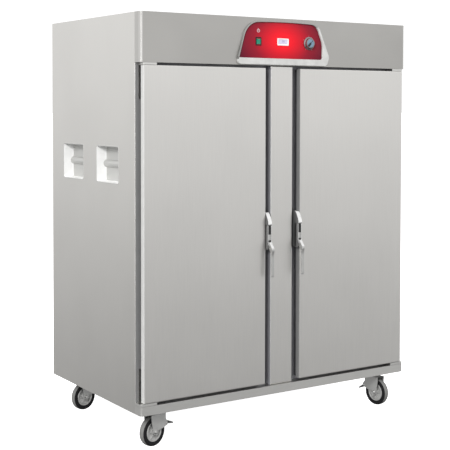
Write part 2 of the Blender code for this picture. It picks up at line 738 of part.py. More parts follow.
PLATE_THICKNESS = 0.0032
RACE_TOP = CASTER_HEIGHT - GAP - PLATE_THICKNESS
CROWN_TOP = 0.1380
CROWN_BOTTOM = 0.1340
CROWN_REAR = -0.058
CROWN_NOSE = 0.029
LEG_INNER = 0.0195
LEG_OUTER = 0.0225
LEG_END_RADIUS = 0.013
CASTERS = {
    "front_left": (-1, CASTER_FRONT, math.radians(15)),
    "front_right": (1, CASTER_FRONT, math.radians(98)),
    "rear_left": (-1, CASTER_REAR, math.radians(14)),
    "rear_right": (1, CASTER_REAR, math.radians(24)),
}
PEDAL_TURNS = {"front_left": PEDAL_UP, "front_right": PEDAL_DOWN}


def caster_mount():
    """Top plate with the upper half of the swivel race under it."""
    plate = block((-0.0525, 0.0525), (-0.0425, 0.0425), (RACE_TOP, RACE_TOP + PLATE_THICKNESS))
    race = disc(0.028, "z", (0, 0, 0), CROWN_TOP + 0.0035, RACE_TOP + 0.001, steps=24)
    return union(plate, race)


def caster_fork():
    """Swivelling crown whose two legs reach back to the axle and forwards to ears for a pedal, with the axle."""
    crown = block((CROWN_REAR, CROWN_NOSE), (-LEG_OUTER, LEG_OUTER), (CROWN_BOTTOM, CROWN_TOP))
    race = disc(0.026, "z", (0, 0, 0), CROWN_BOTTOM + 0.001, CROWN_TOP + 0.003, steps=24)
    legs = []
    outline = [(CROWN_REAR, CROWN_TOP - 0.001), (CROWN_NOSE, CROWN_TOP - 0.001), (CROWN_NOSE, 0.108)]
    outline += [(0.040, 0.095), (0.041, 0.086), (0.038, 0.080), (0.010, 0.070)]
    outline += arc(-TRAIL, AXLE_HEIGHT, LEG_END_RADIUS, math.radians(20), -math.pi, 10)
    for sign in (-1, 1):
        legs.append(prism(outline, "y", *sorted((sign * LEG_INNER, sign * LEG_OUTER))))
    axle = disc(0.005, "y", (-TRAIL, 0, AXLE_HEIGHT), -0.030, 0.030, steps=16)
    nuts = []
    for sign in (-1, 1):
        ends = sorted((sign * (LEG_OUTER - 0.0005), sign * (LEG_OUTER + 0.006)))
        nuts.append(disc(0.0095, "y", (-TRAIL, 0, AXLE_HEIGHT), *ends, steps=6))
    return union(crown, race, *legs, axle, *nuts)


def pedal_pin():
    return disc(0.003, "y", (PEDAL_PIN_X, 0, PEDAL_PIN_Z), -LEG_OUTER - 0.002, LEG_OUTER + 0.002, steps=12)


def caster_hub():
    """Wheel centre: boss, dished web and rim, drawn about the axle."""
    half = [(0.0053, 0.0180), (0.0150, 0.0180), (0.0180, 0.0080), (0.0330, 0.0080), (0.0360, 0.0135)]
    half.append((RIM_RADIUS, 0.0135))
    profile = half + [(radius, -along) for radius, along in reversed(half)]
    return turned(profile, "y", (0, 0, 0), 24)


def caster_tyre():
    """Tyre with a rounded tread, drawn about the axle. One of its flats faces down."""
    half = [(RIM_RADIUS + 0.0006, WHEEL_WIDTH / 2 - 0.002), (WHEEL_RADIUS - 0.0055, WHEEL_WIDTH / 2)]
    half.append((WHEEL_RADIUS, WHEEL_WIDTH / 2 - 0.005))
    profile = half + [(radius, -along) for radius, along in reversed(half)]
    return turned(profile, "y", (0, 0, 0), TYRE_STEPS)


def brake_pedal():
    """Pedal on the fork's cross pin, drawn about the pin: a barrel with a flat foot in front of it."""
    barrel = disc(0.0058, "y", (0, 0, 0), -0.0180, 0.0180, steps=16)
    foot = prism([(0, -0.0050), (0, 0.0050), (0.0450, 0.0010), (0.0450, -0.0050)], "y", -0.0175, 0.0175)
    bore = disc(0.0034, "y", (0, 0, 0), -0.030, 0.030, steps=12)
    return cut(union(barrel, foot), bore)


def build_casters():
    mount, fork, hub, tyre, pedal = caster_mount(), caster_fork(), caster_hub(), caster_tyre(), brake_pedal()
    braked_fork = union(fork, pedal_pin())
    on_axle = (-TRAIL, 0, AXLE_HEIGHT)
    for name, (side, depth, turn) in CASTERS.items():
        place = (side * CASTER_X, FRONT + depth, 0)
        add(f"{name}_caster_plate", mount, ZINC, origin=place, local=True)
        swivel = pivot(f"{name}_caster_swivel", place, turn)
        braked = name in PEDAL_TURNS
        add(f"{name}_caster_fork", braked_fork if braked else fork, ZINC, parent=swivel, local=True)
        add(f"{name}_caster_hub", hub, GREY_PLASTIC, parent=swivel, origin=on_axle, local=True)
        add(f"{name}_caster_tyre", tyre, TYRE_RUBBER, parent=swivel, origin=on_axle, local=True)
        if braked:
            on_pin = (PEDAL_PIN_X, 0, PEDAL_PIN_Z)
            lever = add(f"{name}_brake_pedal", pedal, ZINC, parent=swivel, origin=on_pin, local=True)
            lever.rotation_euler.y = PEDAL_TURNS[name]


clear_scene()
build_carcass()
build_doors()
build_controls()
build_interior()
build_cable_gland()
build_casters()
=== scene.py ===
"""Looks of the proofing cabinet: folded sheet metal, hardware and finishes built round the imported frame.

Metres, +Z up, doors facing -Y. Places come from the frame's nodes and joints.
"""

import json
import math

import bmesh
import bpy
from mathutils import Matrix, Vector


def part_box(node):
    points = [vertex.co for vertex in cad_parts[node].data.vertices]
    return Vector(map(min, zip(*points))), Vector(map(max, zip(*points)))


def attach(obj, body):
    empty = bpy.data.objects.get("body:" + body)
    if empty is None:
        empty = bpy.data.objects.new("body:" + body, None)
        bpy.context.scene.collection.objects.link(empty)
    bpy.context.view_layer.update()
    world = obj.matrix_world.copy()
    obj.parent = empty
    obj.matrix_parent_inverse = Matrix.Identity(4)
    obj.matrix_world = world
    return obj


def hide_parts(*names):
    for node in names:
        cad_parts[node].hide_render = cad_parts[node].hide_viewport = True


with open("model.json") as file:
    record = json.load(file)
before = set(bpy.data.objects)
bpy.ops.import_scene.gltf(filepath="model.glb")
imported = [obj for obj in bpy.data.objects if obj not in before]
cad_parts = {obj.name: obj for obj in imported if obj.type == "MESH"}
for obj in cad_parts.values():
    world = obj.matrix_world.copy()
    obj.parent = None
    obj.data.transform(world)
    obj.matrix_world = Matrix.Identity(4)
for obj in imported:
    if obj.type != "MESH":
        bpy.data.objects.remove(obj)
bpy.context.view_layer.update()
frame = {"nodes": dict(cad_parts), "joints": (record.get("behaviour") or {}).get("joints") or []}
JOINTS = {joint["name"]: joint for joint in frame["joints"]}
SIDES = {"left": -1, "right": 1}

SHEET = 0.0012
GAP = 0.0003
SMALLEST_BEND = 0.0006
ORIGIN = (0, 0, 0)
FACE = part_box("header_fascia")[0].y
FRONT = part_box("front_frame")[0].y
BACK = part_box("back_panel")[1].y
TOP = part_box("roof_panel")[1].z
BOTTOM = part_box("bottom_rail")[0].z
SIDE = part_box("right_side_panel")[1].x


# ---------------------------------------------------------------- finishes

# The part of a noise texture's range that most of its values lie in, and where a tint starts and ends in it.
NOISE_RANGE = (0.35, 0.65)
TINT_PLACES = (0.3, 0.7)
SCRATCHES_ACROSS, SCRATCHES_ALONG = 900.0, 9.0
# The glow: its middle's shift from the panel's, its reach, and its reds from its edge to its middle.
GLOW_SHIFT = Vector((0.01, 0, 0))
GLOW_REACH = (0.245, 1.0, 0.165)
REDS = [(0.0, (0.11, 0.006, 0.02)), (0.35, (0.28, 0.007, 0.022)), (0.85, (0.9, 0.008, 0.02))]


def settle(node, settings):
    """Sets a node's own sockets."""
    for socket, value in settings.items():
        node.inputs[socket].default_value = value


def shader_of(name, colour, roughness, metallic=0.0):
    """A new Principled material, with its node tree and its shader."""
    material = bpy.data.materials.new(name)
    material.use_nodes = True
    tree = material.node_tree
    shader = tree.nodes["Principled BSDF"]
    settle(shader, {"Base Color": (*colour, 1), "Roughness": roughness, "Metallic": metallic})
    return material, tree, shader


def noise(tree, scale, detail=2.0, stretch=(1, 1, 1)):
    """A noise texture in the piece's own space, stretched by a scale on each axis."""
    where = tree.nodes.new("ShaderNodeTexCoord")
    mapping = tree.nodes.new("ShaderNodeMapping")
    settle(mapping, {"Scale": stretch})
    texture = tree.nodes.new("ShaderNodeTexNoise")
    settle(texture, {"Scale": scale, "Detail": detail})
    tree.links.new(where.outputs["Object"], mapping.inputs["Vector"])
    tree.links.new(mapping.outputs["Vector"], texture.inputs["Vector"])
    return texture.outputs["Fac"]


def remap(tree, noise_value, low, high):
    """A noise value spread over the range from low to high."""
    node = tree.nodes.new("ShaderNodeMapRange")
    settle(node, {"From Min": NOISE_RANGE[0], "From Max": NOISE_RANGE[1], "To Min": low, "To Max": high})
    tree.links.new(noise_value, node.inputs["Value"])
    return node.outputs["Result"]


def graded(tree, value, stops):
    """A colour that runs through stops of (place, colour) as a value rises from 0 to 1."""
    ramp = tree.nodes.new("ShaderNodeValToRGB")
    for _ in stops[2:]:
        ramp.color_ramp.elements.new(0.5)
    for element, (place, colour) in zip(ramp.color_ramp.elements, stops):
        element.position = place
        element.color = (*colour, 1)
    tree.links.new(value, ramp.inputs["Fac"])
    return ramp.outputs["Color"]


def tinted(tree, value, colour, low, high):
    """A colour whose brightness a value moves between two factors."""
    stops = zip(TINT_PLACES, (low, high))
    return graded(tree, value, [(place, [min(1, c * factor) for c in colour]) for place, factor in stops])


def bumped(tree, shader, value, strength, distance):
    bump = tree.nodes.new("ShaderNodeBump")
    settle(bump, {"Strength": strength, "Distance": distance})
    tree.links.new(value, bump.inputs["Height"])
    tree.links.new(bump.outputs["Normal"], shader.inputs["Normal"])


def brushed(name, colour, roughness, grain, strength=0.1, clouded=0.022):
    """Satin sheet with fine scratches along one axis, faint cloudy patches and a slightly uneven gloss."""
    material, tree, shader = shader_of(name, colour, roughness, 1.0)
    stretch = [SCRATCHES_ALONG if axis == grain else SCRATCHES_ACROSS for axis in "xyz"]
    scratches = noise(tree, 1.0, 3.0, stretch)
    clouds = noise(tree, 2.3, 2.0)
    colours = tree.nodes.new("ShaderNodeMix")
    colours.data_type = "RGBA"
    colours.blend_type = "MULTIPLY"
    settle(colours, {"Factor": 1.0})
    tree.links.new(tinted(tree, clouds, colour, 1 - clouded, 1 + clouded), colours.inputs["A"])
    tree.links.new(tinted(tree, scratches, (1, 1, 1), 0.94, 1.0), colours.inputs["B"])
    tree.links.new(colours.outputs["Result"], shader.inputs["Base Color"])
    tree.links.new(remap(tree, scratches, roughness - 0.05, roughness + 0.05), shader.inputs["Roughness"])
    bumped(tree, shader, scratches, strength, 0.0002)
    return material


def plated(name, colour, roughness, mottle):
    """Plated or polished metal with a faint mottle in its gloss and colour."""
    material, tree, shader = shader_of(name, colour, roughness, 1.0)
    grain = noise(tree, mottle, 4.0)
    tree.links.new(tinted(tree, grain, colour, 0.9, 1.04), shader.inputs["Base Color"])
    tree.links.new(remap(tree, grain, roughness * 0.75, roughness * 1.3), shader.inputs["Roughness"])
    bumped(tree, shader, grain, 0.06, 0.0003)
    return material


def satin(name, colour, roughness, metallic):
    """Dull metal that scatters much of its light, with a soft mottle."""
    material, tree, shader = shader_of(name, colour, roughness, metallic)
    cloud = noise(tree, 30.0, 3.0)
    tree.links.new(tinted(tree, cloud, colour, 0.96, 1.03), shader.inputs["Base Color"])
    tree.links.new(remap(tree, cloud, roughness - 0.05, roughness + 0.05), shader.inputs["Roughness"])
    bumped(tree, shader, noise(tree, 700.0, 2.0), 0.05, 0.0002)
    return material


def moulded(name, colour, roughness, grain=900.0, strength=0.12, specular=0.5):
    """Moulded plastic or rubber with a fine pebble and slightly uneven colour."""
    material, tree, shader = shader_of(name, colour, roughness)
    pebble = noise(tree, grain, 2.0)
    tree.links.new(tinted(tree, noise(tree, 25.0, 3.0), colour, 0.9, 1.1), shader.inputs["Base Color"])
    tree.links.new(remap(tree, pebble, roughness - 0.06, roughness + 0.06), shader.inputs["Roughness"])
    bumped(tree, shader, pebble, strength, 0.0002)
    settle(shader, {"Specular IOR Level": specular})
    return material


def red_glaze(name):
    """Satin red, bright in the middle of the panel and wine-coloured towards its ends."""
    material, tree, shader = shader_of(name, (0.7, 0.02, 0.05), 0.36)
    where = tree.nodes.new("ShaderNodeTexCoord")
    mapping = tree.nodes.new("ShaderNodeMapping")
    mapping.vector_type = "TEXTURE"
    low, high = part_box("control_face")
    settle(mapping, {"Location": (low + high) / 2 + GLOW_SHIFT, "Scale": GLOW_REACH})
    ball = tree.nodes.new("ShaderNodeTexGradient")
    ball.gradient_type = "SPHERICAL"
    tree.links.new(where.outputs["Object"], mapping.inputs["Vector"])
    tree.links.new(mapping.outputs["Vector"], ball.inputs["Vector"])
    tree.links.new(graded(tree, ball.outputs["Fac"], REDS), shader.inputs["Base Color"])
    orange_peel = noise(tree, 260.0, 1.0)
    tree.links.new(remap(tree, orange_peel, 0.32, 0.4), shader.inputs["Roughness"])
    bumped(tree, shader, orange_peel, 0.03, 0.0003)
    settle(shader, {"Specular IOR Level": 0.18})
    return material


def lit(name, colour, roughness, glow):
    """A moulded plastic that glows a little."""
    material = moulded(name, colour, roughness, strength=0.03)
    shader = material.node_tree.nodes["Principled BSDF"]
    settle(shader, {"Emission Color": (*colour, 1), "Emission Strength": glow})
    return material


# The looks of each of the record's slots: the maker of the material, and what it is given after its name.
FINISHES = {
    "brushed_steel": {
        "door_steel": (brushed, (0.69, 0.68, 0.658), 0.36, "z"),
        "side_steel": (brushed, (0.645, 0.635, 0.612), 0.38, "z"),
        "header_steel": (brushed, (0.455, 0.447, 0.43), 0.42, "x", 0.1, 0.06),
        # Lighter copies of the header steel for its side faces and its upright bends: painted light and a
        # painted highlight.
        "header_side_steel": (brushed, (0.5, 0.492, 0.475), 0.42, "x"),
        "header_bend_steel": (brushed, (0.58, 0.572, 0.555), 0.42, "x"),
        # A lighter satin copy of the steel for the doors' outer side faces: painted highlight.
        "edge_steel": (satin, (0.66, 0.66, 0.645), 0.5, 0.35),
        "shade_steel": (satin, (0.29, 0.29, 0.285), 0.55, 0.35),
        # A darker copy of the side steel for the jamb behind the doors: painted shade.
        "jamb_steel": (satin, (0.26, 0.26, 0.26), 0.6, 0.3),
        "rail_steel": (brushed, (0.67, 0.665, 0.645), 0.4, "x"),
        # Dark steel of the front frame, also used as painted shade on the mullion's side faces.
        "frame_steel": (satin, (0.3, 0.3, 0.32), 0.6, 0.3),
        "pocket_steel": (satin, (0.54, 0.54, 0.525), 0.55, 0.5),
        # A pale, non-metal copy of the pocket steel for the faces the lamp falls on: painted light.
        "pocket_white": (satin, (0.87, 0.87, 0.86), 0.6, 0.0),
    },
    "liner_steel": {"liner_steel": (brushed, (0.64, 0.64, 0.63), 0.3, "z", 0.05)},
    "chrome": {
        "chrome": (plated, (0.78, 0.78, 0.775), 0.2, 60.0),
        "cast_grey": (satin, (0.2, 0.2, 0.2), 0.45, 0.6),
        "lever_chrome": (satin, (0.5, 0.5, 0.49), 0.38, 0.8),
    },
    "zinc": {
        "screw_chrome": (plated, (0.66, 0.66, 0.65), 0.22, 300.0),
        "zinc": (satin, (0.5, 0.5, 0.49), 0.42, 0.6),
        # Near-black zinc for the pedal arms, also used as painted shade on the front and rear ends of the
        # caster forks.
        "dark_zinc": (satin, (0.06, 0.06, 0.06), 0.5, 0.3),
    },
    "element": {"tinted_steel": (plated, (0.3, 0.27, 0.24), 0.42, 45.0)},
    "red_panel": {"red_glaze": (red_glaze,)},
    "silver_plastic": {
        "silver_plastic": (moulded, (0.58, 0.58, 0.565), 0.34, 1400.0, 0.04),
        "knob_grey": (plated, (0.33, 0.33, 0.33), 0.36, 90.0),
        "knob_blue": (plated, (0.22, 0.33, 0.43), 0.3, 90.0),
        # A darker grey for parts of the silver bezel: painted shade.
        "rim_grey": (satin, (0.36, 0.355, 0.345), 0.48, 0.6),
    },
    "black_plastic": {"black_plastic": (moulded, (0.01, 0.01, 0.011), 0.46)},
    "green_plastic": {"green_lens": (lit, (0.01, 0.2, 0.12), 0.25, 0.22)},
    "display": {
        "white_ink": (moulded, (0.66, 0.52, 0.55), 0.45),
        "display_frame": (moulded, (0.86, 0.85, 0.86), 0.3, 900.0, 0.03),
        "display_glass": (lit, (0.58, 0.55, 0.7), 0.14, 0.1),
        "display_violet": (moulded, (0.12, 0.08, 0.34), 0.4),
        "display_red": (moulded, (0.75, 0.16, 0.26), 0.4),
    },
    "grey_plastic": {
        "hub_grey": (satin, (0.52, 0.52, 0.51), 0.36, 0.5),
        "grey_plastic": (moulded, (0.42, 0.42, 0.42), 0.45),
    },
    "gasket": {"gasket_rubber": (moulded, (0.06, 0.06, 0.064), 0.65, 500.0)},
    "tyre": {
        "tyre_rubber": (moulded, (0.012, 0.012, 0.013), 0.72, 450.0, 0.2, 0.15),
        "tread_rubber": (moulded, (0.19, 0.19, 0.185), 0.7, 450.0, 0.2),
    },
}
LOOKS = {}
for slot, makers in FINISHES.items():
    for look, (make, *settings) in makers.items():
        LOOKS[look] = (make(look, *settings), slot)


# ---------------------------------------------------------------- shapes


def closed_mesh(build):
    """A mesh filled in by build(bm), with its faces turned outwards."""
    bm = bmesh.new()
    build(bm)
    bmesh.ops.recalc_face_normals(bm, faces=bm.faces)
    mesh = bpy.data.meshes.new("shape")
    bm.to_mesh(mesh)
    bm.free()
    return mesh


def placed(point, axis, along):
    """A point of two coordinates given its place along the third axis."""
    values = list(point)
    values.insert("xyz".index(axis), along)
    return values


def loft(loops, closed=False):
    """A solid through loops of equally many points, capped at both ends or closed into a ring."""

    def build(bm):
        rings = [[bm.verts.new(point) for point in loop] for loop in loops]
        pairs = list(zip(rings, rings[1:]))
        if closed:
            pairs.append((rings[-1], rings[0]))
        else:
            bm.faces.new(rings[0])
            bm.faces.new(rings[-1])
        for here, there in pairs:
            for i in range(len(here)):
                j = (i + 1) % len(here)
                bm.faces.new((here[i], here[j], there[j], there[i]))

    return closed_mesh(build)


def arc(x, y, radius, start, end, points):
    """Points along an arc, with its angles in degrees."""
    turns = [math.radians(turn) for turn in evenly(start, end, points)]
    return [(x + radius * math.cos(turn), y + radius * math.sin(turn)) for turn in turns]


def circle(radius, steps):
    return arc(0, 0, radius, 0, 360 * (1 - 1 / steps), steps)


def rounded(corners, steps=5):
    """A closed outline whose corners, given as (x, y, radius), are rounded off."""
    outline = []
    for i, (x, y, radius) in enumerate(corners):
        corner = Vector((x, y))
        before = (Vector(corners[i - 1][:2]) - corner).normalized()
        after = (Vector(corners[(i + 1) % len(corners)][:2]) - corner).normalized()
        half = before.angle(after) / 2
        centre = corner + (before + after).normalized() * radius / math.sin(half)
        start = corner + before * radius / math.tan(half) - centre
        end = corner + after * radius / math.tan(half) - centre
        turn = start.angle_signed(end)
        for step in range(steps):
            outline.append(tuple(centre + Matrix.Rotation(-turn * step / (steps - 1), 2) @ start))
    return outline


def block(*ranges):
    def build(bm):
        bmesh.ops.create_cube(bm, size=1)
        for corner in bm.verts:
            corner.co = [limits[0] if c < 0 else limits[1] for c, limits in zip(corner.co, ranges)]

    return closed_mesh(build)


def prism(outline, axis, low, high):
    """An outline extruded along an axis. Its points are the other two coordinates, in X, Y, Z order."""
    return loft([[placed(point, axis, along) for point in outline] for along in (low, high)])


def lathe(stations, axis, centre, steps=24, closed=False):
    """Circles of (radius, distance along the axis) joined up about an axis."""
    across = [c for i, c in enumerate(centre) if i != "xyz".index(axis)]
    base = centre["xyz".index(axis)]
    loops = []
    for radius, along in stations:
        points = [(across[0] + u, across[1] + v) for u, v in circle(radius, steps)]
        loops.append([placed(point, axis, base + along) for point in points])
    return loft(loops, closed)


def framed(stations, axis, u, v, corner, closed=False):
    """Rounded rectangles of (inset, place along the axis) joined up, with corners of one outer radius."""
    loops = []
    for inset, along in stations:
        radius = max(corner - inset, SMALLEST_BEND)
        corners = [(u[0] + inset, v[0] + inset), (u[1] - inset, v[0] + inset)]
        corners += [(u[1] - inset, v[1] - inset), (u[0] + inset, v[1] - inset)]
        outline = rounded([(*point, radius) for point in corners])
        loops.append([placed(point, axis, along) for point in outline])
    return loft(loops, closed)


def folded(axis, u, v, shut, mouth, bend, corner):
    """A folded sheet tray with rounded bends, shut at one place along the axis and open at the other."""
    way = math.copysign(1, mouth - shut)
    inner = max(bend - SHEET, SMALLEST_BEND)
    flat = 0.004
    quarter = [(math.sin(turn), math.cos(turn)) for turn in evenly(0, math.pi / 2, 5)]
    stations = [(SHEET + inner + flat, shut + way * SHEET)]
    stations += [(SHEET + inner - inner * s, shut + way * (SHEET + inner - inner * c)) for s, c in quarter]
    stations += [(SHEET, mouth), (0, mouth)]
    stations += [(bend - bend * s, shut + way * (bend - bend * c)) for s, c in reversed(quarter)]
    return framed([*stations, (bend + flat, shut)], axis, u, v, corner)


def wrapped(x, y, z, bend):
    """A sheet front whose upright corners are rounded, with returns at its sides, top and bottom."""

    def plan(inset):
        left = arc(x[0] + bend, y[0] + bend, bend - inset, 180, 270, 8)
        right = arc(x[1] - bend, y[0] + bend, bend - inset, 270, 360, 8)
        return [(x[0] + inset, y[1]), *left, *right, (x[1] - inset, y[1])]

    solids = [prism(plan(0) + plan(SHEET)[::-1], "z", *z)]
    for level in (z[0], z[1] - SHEET):
        solids.append(prism(plan(SHEET / 2), "z", level, level + SHEET))
    return softened(combined("UNION", *solids), 0.0008, 2, 60)


def evenly(low, high, count):
    return [low + (high - low) * i / (count - 1) for i in range(count)]


def linked(name, data):
    """A new object in the scene."""
    obj = bpy.data.objects.new(name, data)
    bpy.context.scene.collection.objects.link(obj)
    return obj


def modified(mesh, kind, **settings):
    """A mesh after one modifier."""
    helper = linked("helper", mesh)
    modifier = helper.modifiers.new("step", kind)
    for key, value in settings.items():
        setattr(modifier, key, value)
    result = bpy.data.meshes.new_from_object(helper.evaluated_get(bpy.context.evaluated_depsgraph_get()))
    bpy.data.objects.remove(helper)
    return result


def softened(mesh, width, segments=2, angle=35):
    """A mesh with its sharp edges rounded."""
    limit = math.radians(angle)
    return modified(mesh, "BEVEL", width=width, segments=segments, limit_method="ANGLE", angle_limit=limit)


def combined(operation, mesh, *others):
    """A mesh joined with others, or cut by them."""
    for other in others:
        tool = linked("tool", other)
        mesh = modified(mesh, "BOOLEAN", operation=operation, solver="EXACT", object=tool)
        bpy.data.objects.remove(tool)
    return mesh


def turned(degrees, axis):
    return Matrix.Rotation(math.radians(degrees), 4, axis)


def moved(mesh, *steps):
    """A copy of a mesh, moved by matrices from the last one to the first."""
    mesh = mesh.copy()
    for step in reversed(steps):
        mesh.transform(step)
    return mesh


def spans(node):
    """A CAD node's ranges of x, y and z."""
    return tuple(zip(*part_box(node)))


def joint_place(name):
    return Vector(JOINTS[name]["pos_m"])


def shifted(origin, points):
    """Points of two coordinates, given from an origin."""
    return [(origin[0] + across, origin[1] + up) for across, up in points]


def about(middle, half):
    """The range that reaches equally far to both sides of its middle."""
    return middle - half, middle + half


def span(side, inner, outer):
    """The range of x between two distances from the middle, on the left (-1) or the right (+1)."""
    return tuple(sorted((side * inner, side * outer)))


def piece(name, meshes, body, look, *nodes, sharp=32, trims=()):
    """One object from one or more solids, which rides on a body and may stand for CAD nodes.

    Each trim gives some of its faces another look: the look, and a test of a face's normal and centre.
    """
    bm = bmesh.new()
    for mesh in meshes if isinstance(meshes, (list, tuple)) else [meshes]:
        bm.from_mesh(mesh)
    mesh = bpy.data.meshes.new(name)
    bm.to_mesh(mesh)
    bm.free()
    material, slot = LOOKS[look]
    mesh.materials.clear()
    mesh.materials.append(material)
    for index, (second, chosen) in enumerate(trims, 1):
        mesh.materials.append(LOOKS[second][0])
        for face in mesh.polygons:
            if chosen(face.normal, face.center):
                face.material_index = index
    mesh.shade_smooth()
    mesh.set_sharp_from_angle(angle=math.radians(sharp))
    mesh = modified(mesh, "WEIGHTED_NORMAL", keep_sharp=True)
    mesh.name = name
    obj = linked(name, mesh)
    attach(obj, body)
    if nodes:
        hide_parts(*nodes)


def form(node, meshes, look, body="cabinet", **settings):
    """The piece that stands for one CAD node."""
    piece(f"{node}_form", meshes, body, look, node, **settings)


def finish_node(look, *nodes):
    """Gives CAD nodes that stay as they are their finish."""
    for node in nodes:
        mesh = frame["nodes"][node].data
        mesh.materials.clear()
        mesh.materials.append(LOOKS[look][0])


# ---------------------------------------------------------------- fasteners


def screw_shape():
    """Pan head with a cross recess, lying at the origin and pointing along -Y."""
    radius, height = 0.004, 0.0018
    stations = [(radius * 0.9, 0.0008), (radius, 0.0), (radius, -height * 0.45)]
    stations += [(radius * 0.8, -height * 0.85), (radius * 0.45, -height)]
    head = lathe(stations, "y", ORIGIN, 20)
    arm, wing = radius * 0.52, radius * 0.13
    depth = (-height * 2, -height * 0.45)
    recess = [block((-arm, arm), depth, (-wing, wing)), block((-wing, wing), depth, (-arm, arm))]
    return combined("DIFFERENCE", head, *recess)


def hex_shape():
    """Hexagon head on a washer, lying at the origin and pointing along -Z."""
    radius, height = 0.0065, 0.0045
    washer = [(radius * 1.25, 0.0006), (radius * 1.3, 0.0), (radius * 1.25, -0.0014)]
    head = [(radius * 0.96, -0.001), (radius, -0.0016), (radius, -height), (radius * 0.86, -height - 0.0007)]
    return [lathe(washer, "z", ORIGIN, 20), lathe(head, "z", ORIGIN, 6)]


SCREW = screw_shape()


def screws(name, places, turn=Matrix.Identity(4)):
    """A row of screws at places, each turned a little differently about its own axis."""
    meshes = []
    for i, place in enumerate(places):
        meshes.append(moved(SCREW, Matrix.Translation(place), turn, turned(37 * i, "Y")))
    piece(name, meshes, "cabinet", "screw_chrome")


# ---------------------------------------------------------------- carcass

SIDE_BEND, HEADER_BEND, RAIL_BEND = 0.004, 0.016, 0.013
POCKET_CORNER = 0.006


def build_side(word, side):
    """Skin with its front jamb folded in, and the openings of the two hand pockets."""
    inner = side * SIDE - side * SHEET
    jamb = side * min(map(abs, spans(f"{word}_side_panel")[0]))
    centre = (side * (SIDE - SIDE_BEND), FRONT + SIDE_BEND)
    turns = (0, -90) if side > 0 else (180, 270)
    outline = [(inner, BACK), (side * SIDE, BACK), *arc(*centre, SIDE_BEND, *turns, 6)]
    outline += [(jamb, FRONT), (jamb, FRONT + SHEET), *arc(*centre, SIDE_BEND - SHEET, *turns[::-1], 6)]
    cuts = []
    for place in ("front", "rear"):
        _, y, z = spans(f"{word}_{place}_hand_pocket")
        stations = [(-GAP, side * (SIDE - 0.02)), (-GAP, side * (SIDE + 0.02))]
        cuts.append(framed(stations, "x", y, z, POCKET_CORNER))
        build_pocket(f"{word}_{place}_hand_pocket", side)
    piece(
        f"{word}_side_skin", combined("DIFFERENCE", prism(outline, "z", BOTTOM, TOP), *cuts), "cabinet",
        "side_steel", f"{word}_side_panel",
        # The jamb folded in behind the doors takes the darker copy: painted shade cast by the doors.
        trims=[("jamb_steel", lambda normal, centre: abs(centre.x) < SIDE - SIDE_BEND * 0.7)],
    )


def build_pocket(node, side):
    """Pressed tray with rounded corners, a thin lip round its mouth and a half-round rib across its back."""
    x, y, z = spans(node)
    floor = side * min(map(abs, x))
    tray = folded("x", y, z, floor, side * SIDE, 0.007, POCKET_CORNER)
    middle = (z[0] + z[1]) / 2
    half, depth = 0.017, 0.016
    root = floor + side * SHEET / 2
    turns = evenly(-math.pi / 2, math.pi / 2, 17)
    rib = [(root + side * depth * math.cos(t), middle + half * math.sin(t)) for t in turns]
    bar = prism(rib, "y", y[0] + SHEET / 2, y[1] - SHEET / 2)
    lip = [(0.0, -0.0004), (-0.0035, -0.0004), (-0.0035, 0.0003), (-0.0028, 0.0008), (-0.0005, 0.0008)]
    lip = [(inset, side * (SIDE + out)) for inset, out in [*lip, (0.0, 0.0003)]]
    solids = [tray, bar, framed(lip, "x", y, z, POCKET_CORNER, closed=True)]

    # The pocket's end walls and its floor take the pale copy: painted light where the lamp falls into the
    # pocket.
    def bright(normal, centre):
        return abs(normal.y) > 0.7 or normal.z > 0.7 and centre.z < z[0] + 0.01

    form(node, solids, "pocket_steel", trims=[("pocket_white", bright)])


def build_pan(node, axis, shut_high, bend, corner, look, **settings):
    """A folded sheet in place of a CAD node, shut at the high or the low end of its depth."""
    ranges = dict(zip("xyz", spans(node)))
    shut, mouth = sorted(ranges.pop(axis), reverse=shut_high)
    form(node, folded(axis, *ranges.values(), shut, mouth, bend, corner), look, **settings)


def build_carcass():
    for word, side in SIDES.items():
        build_side(word, side)
    x, y, z = spans("header_fascia")
    fascia = wrapped(x, (FACE, y[1]), z, HEADER_BEND)
    # The opening for the controls' wiring, which the bezel covers.
    left, right = spans("control_face")[0]
    window = block((left + 0.05, right - 0.03), (FACE - 0.01, FACE + 0.01), (BOTTOM + 1.55, BOTTOM + 1.65))
    # The header's side faces and its rounded upright bends take lighter copies of its steel: painted light on
    # the sides and a painted highlight along the bends.
    trims = [
        ("header_side_steel", lambda normal, centre: abs(normal.x) > 0.995),
        ("header_bend_steel", lambda normal, centre: 0.25 < abs(normal.x) <= 0.995 and abs(normal.z) < 0.3),
    ]
    form("header_fascia", combined("DIFFERENCE", fascia, window), "header_steel", trims=trims)
    x, y, z = spans("bottom_rail")
    form("bottom_rail", wrapped(x, (FACE, y[1]), z, RAIL_BEND), "rail_steel")
    # The mullion's side faces take the dark frame steel: painted shade in the gaps beside the doors.
    sides = ("frame_steel", lambda normal, centre: abs(normal.x) > 0.8)
    build_pan("mullion_cover", "y", False, 0.006, 0.002, "door_steel", trims=[sides])
    build_pan("roof_panel", "z", True, 0.003, 0.004, "side_steel")
    build_pan("back_panel", "y", True, 0.003, 0.003, "side_steel")
    build_pan("inner_liner", "y", True, 0.01, 0.012, "liner_steel")
    finish_node("frame_steel", "front_frame")
    finish_node("side_steel", "base_pan")
    build_back_screws()


def build_back_screws():
    low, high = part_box("back_panel")
    inset, first = 0.018, 0.03
    places = []
    for z in evenly(low.z + first, high.z - first, 9):
        places += [(low.x + inset, BACK, z), (high.x - inset, BACK, z)]
    for x in evenly(low.x + inset, high.x - inset, 8)[1:-1]:
        places += [(x, BACK, low.z + inset), (x, BACK, high.z - inset)]
    screws("back_panel_screws", places, turned(180, "Z"))


# ---------------------------------------------------------------- doors

# Between a bracket and the door, the header or the rail.
BRACKET_GAP = 0.0005


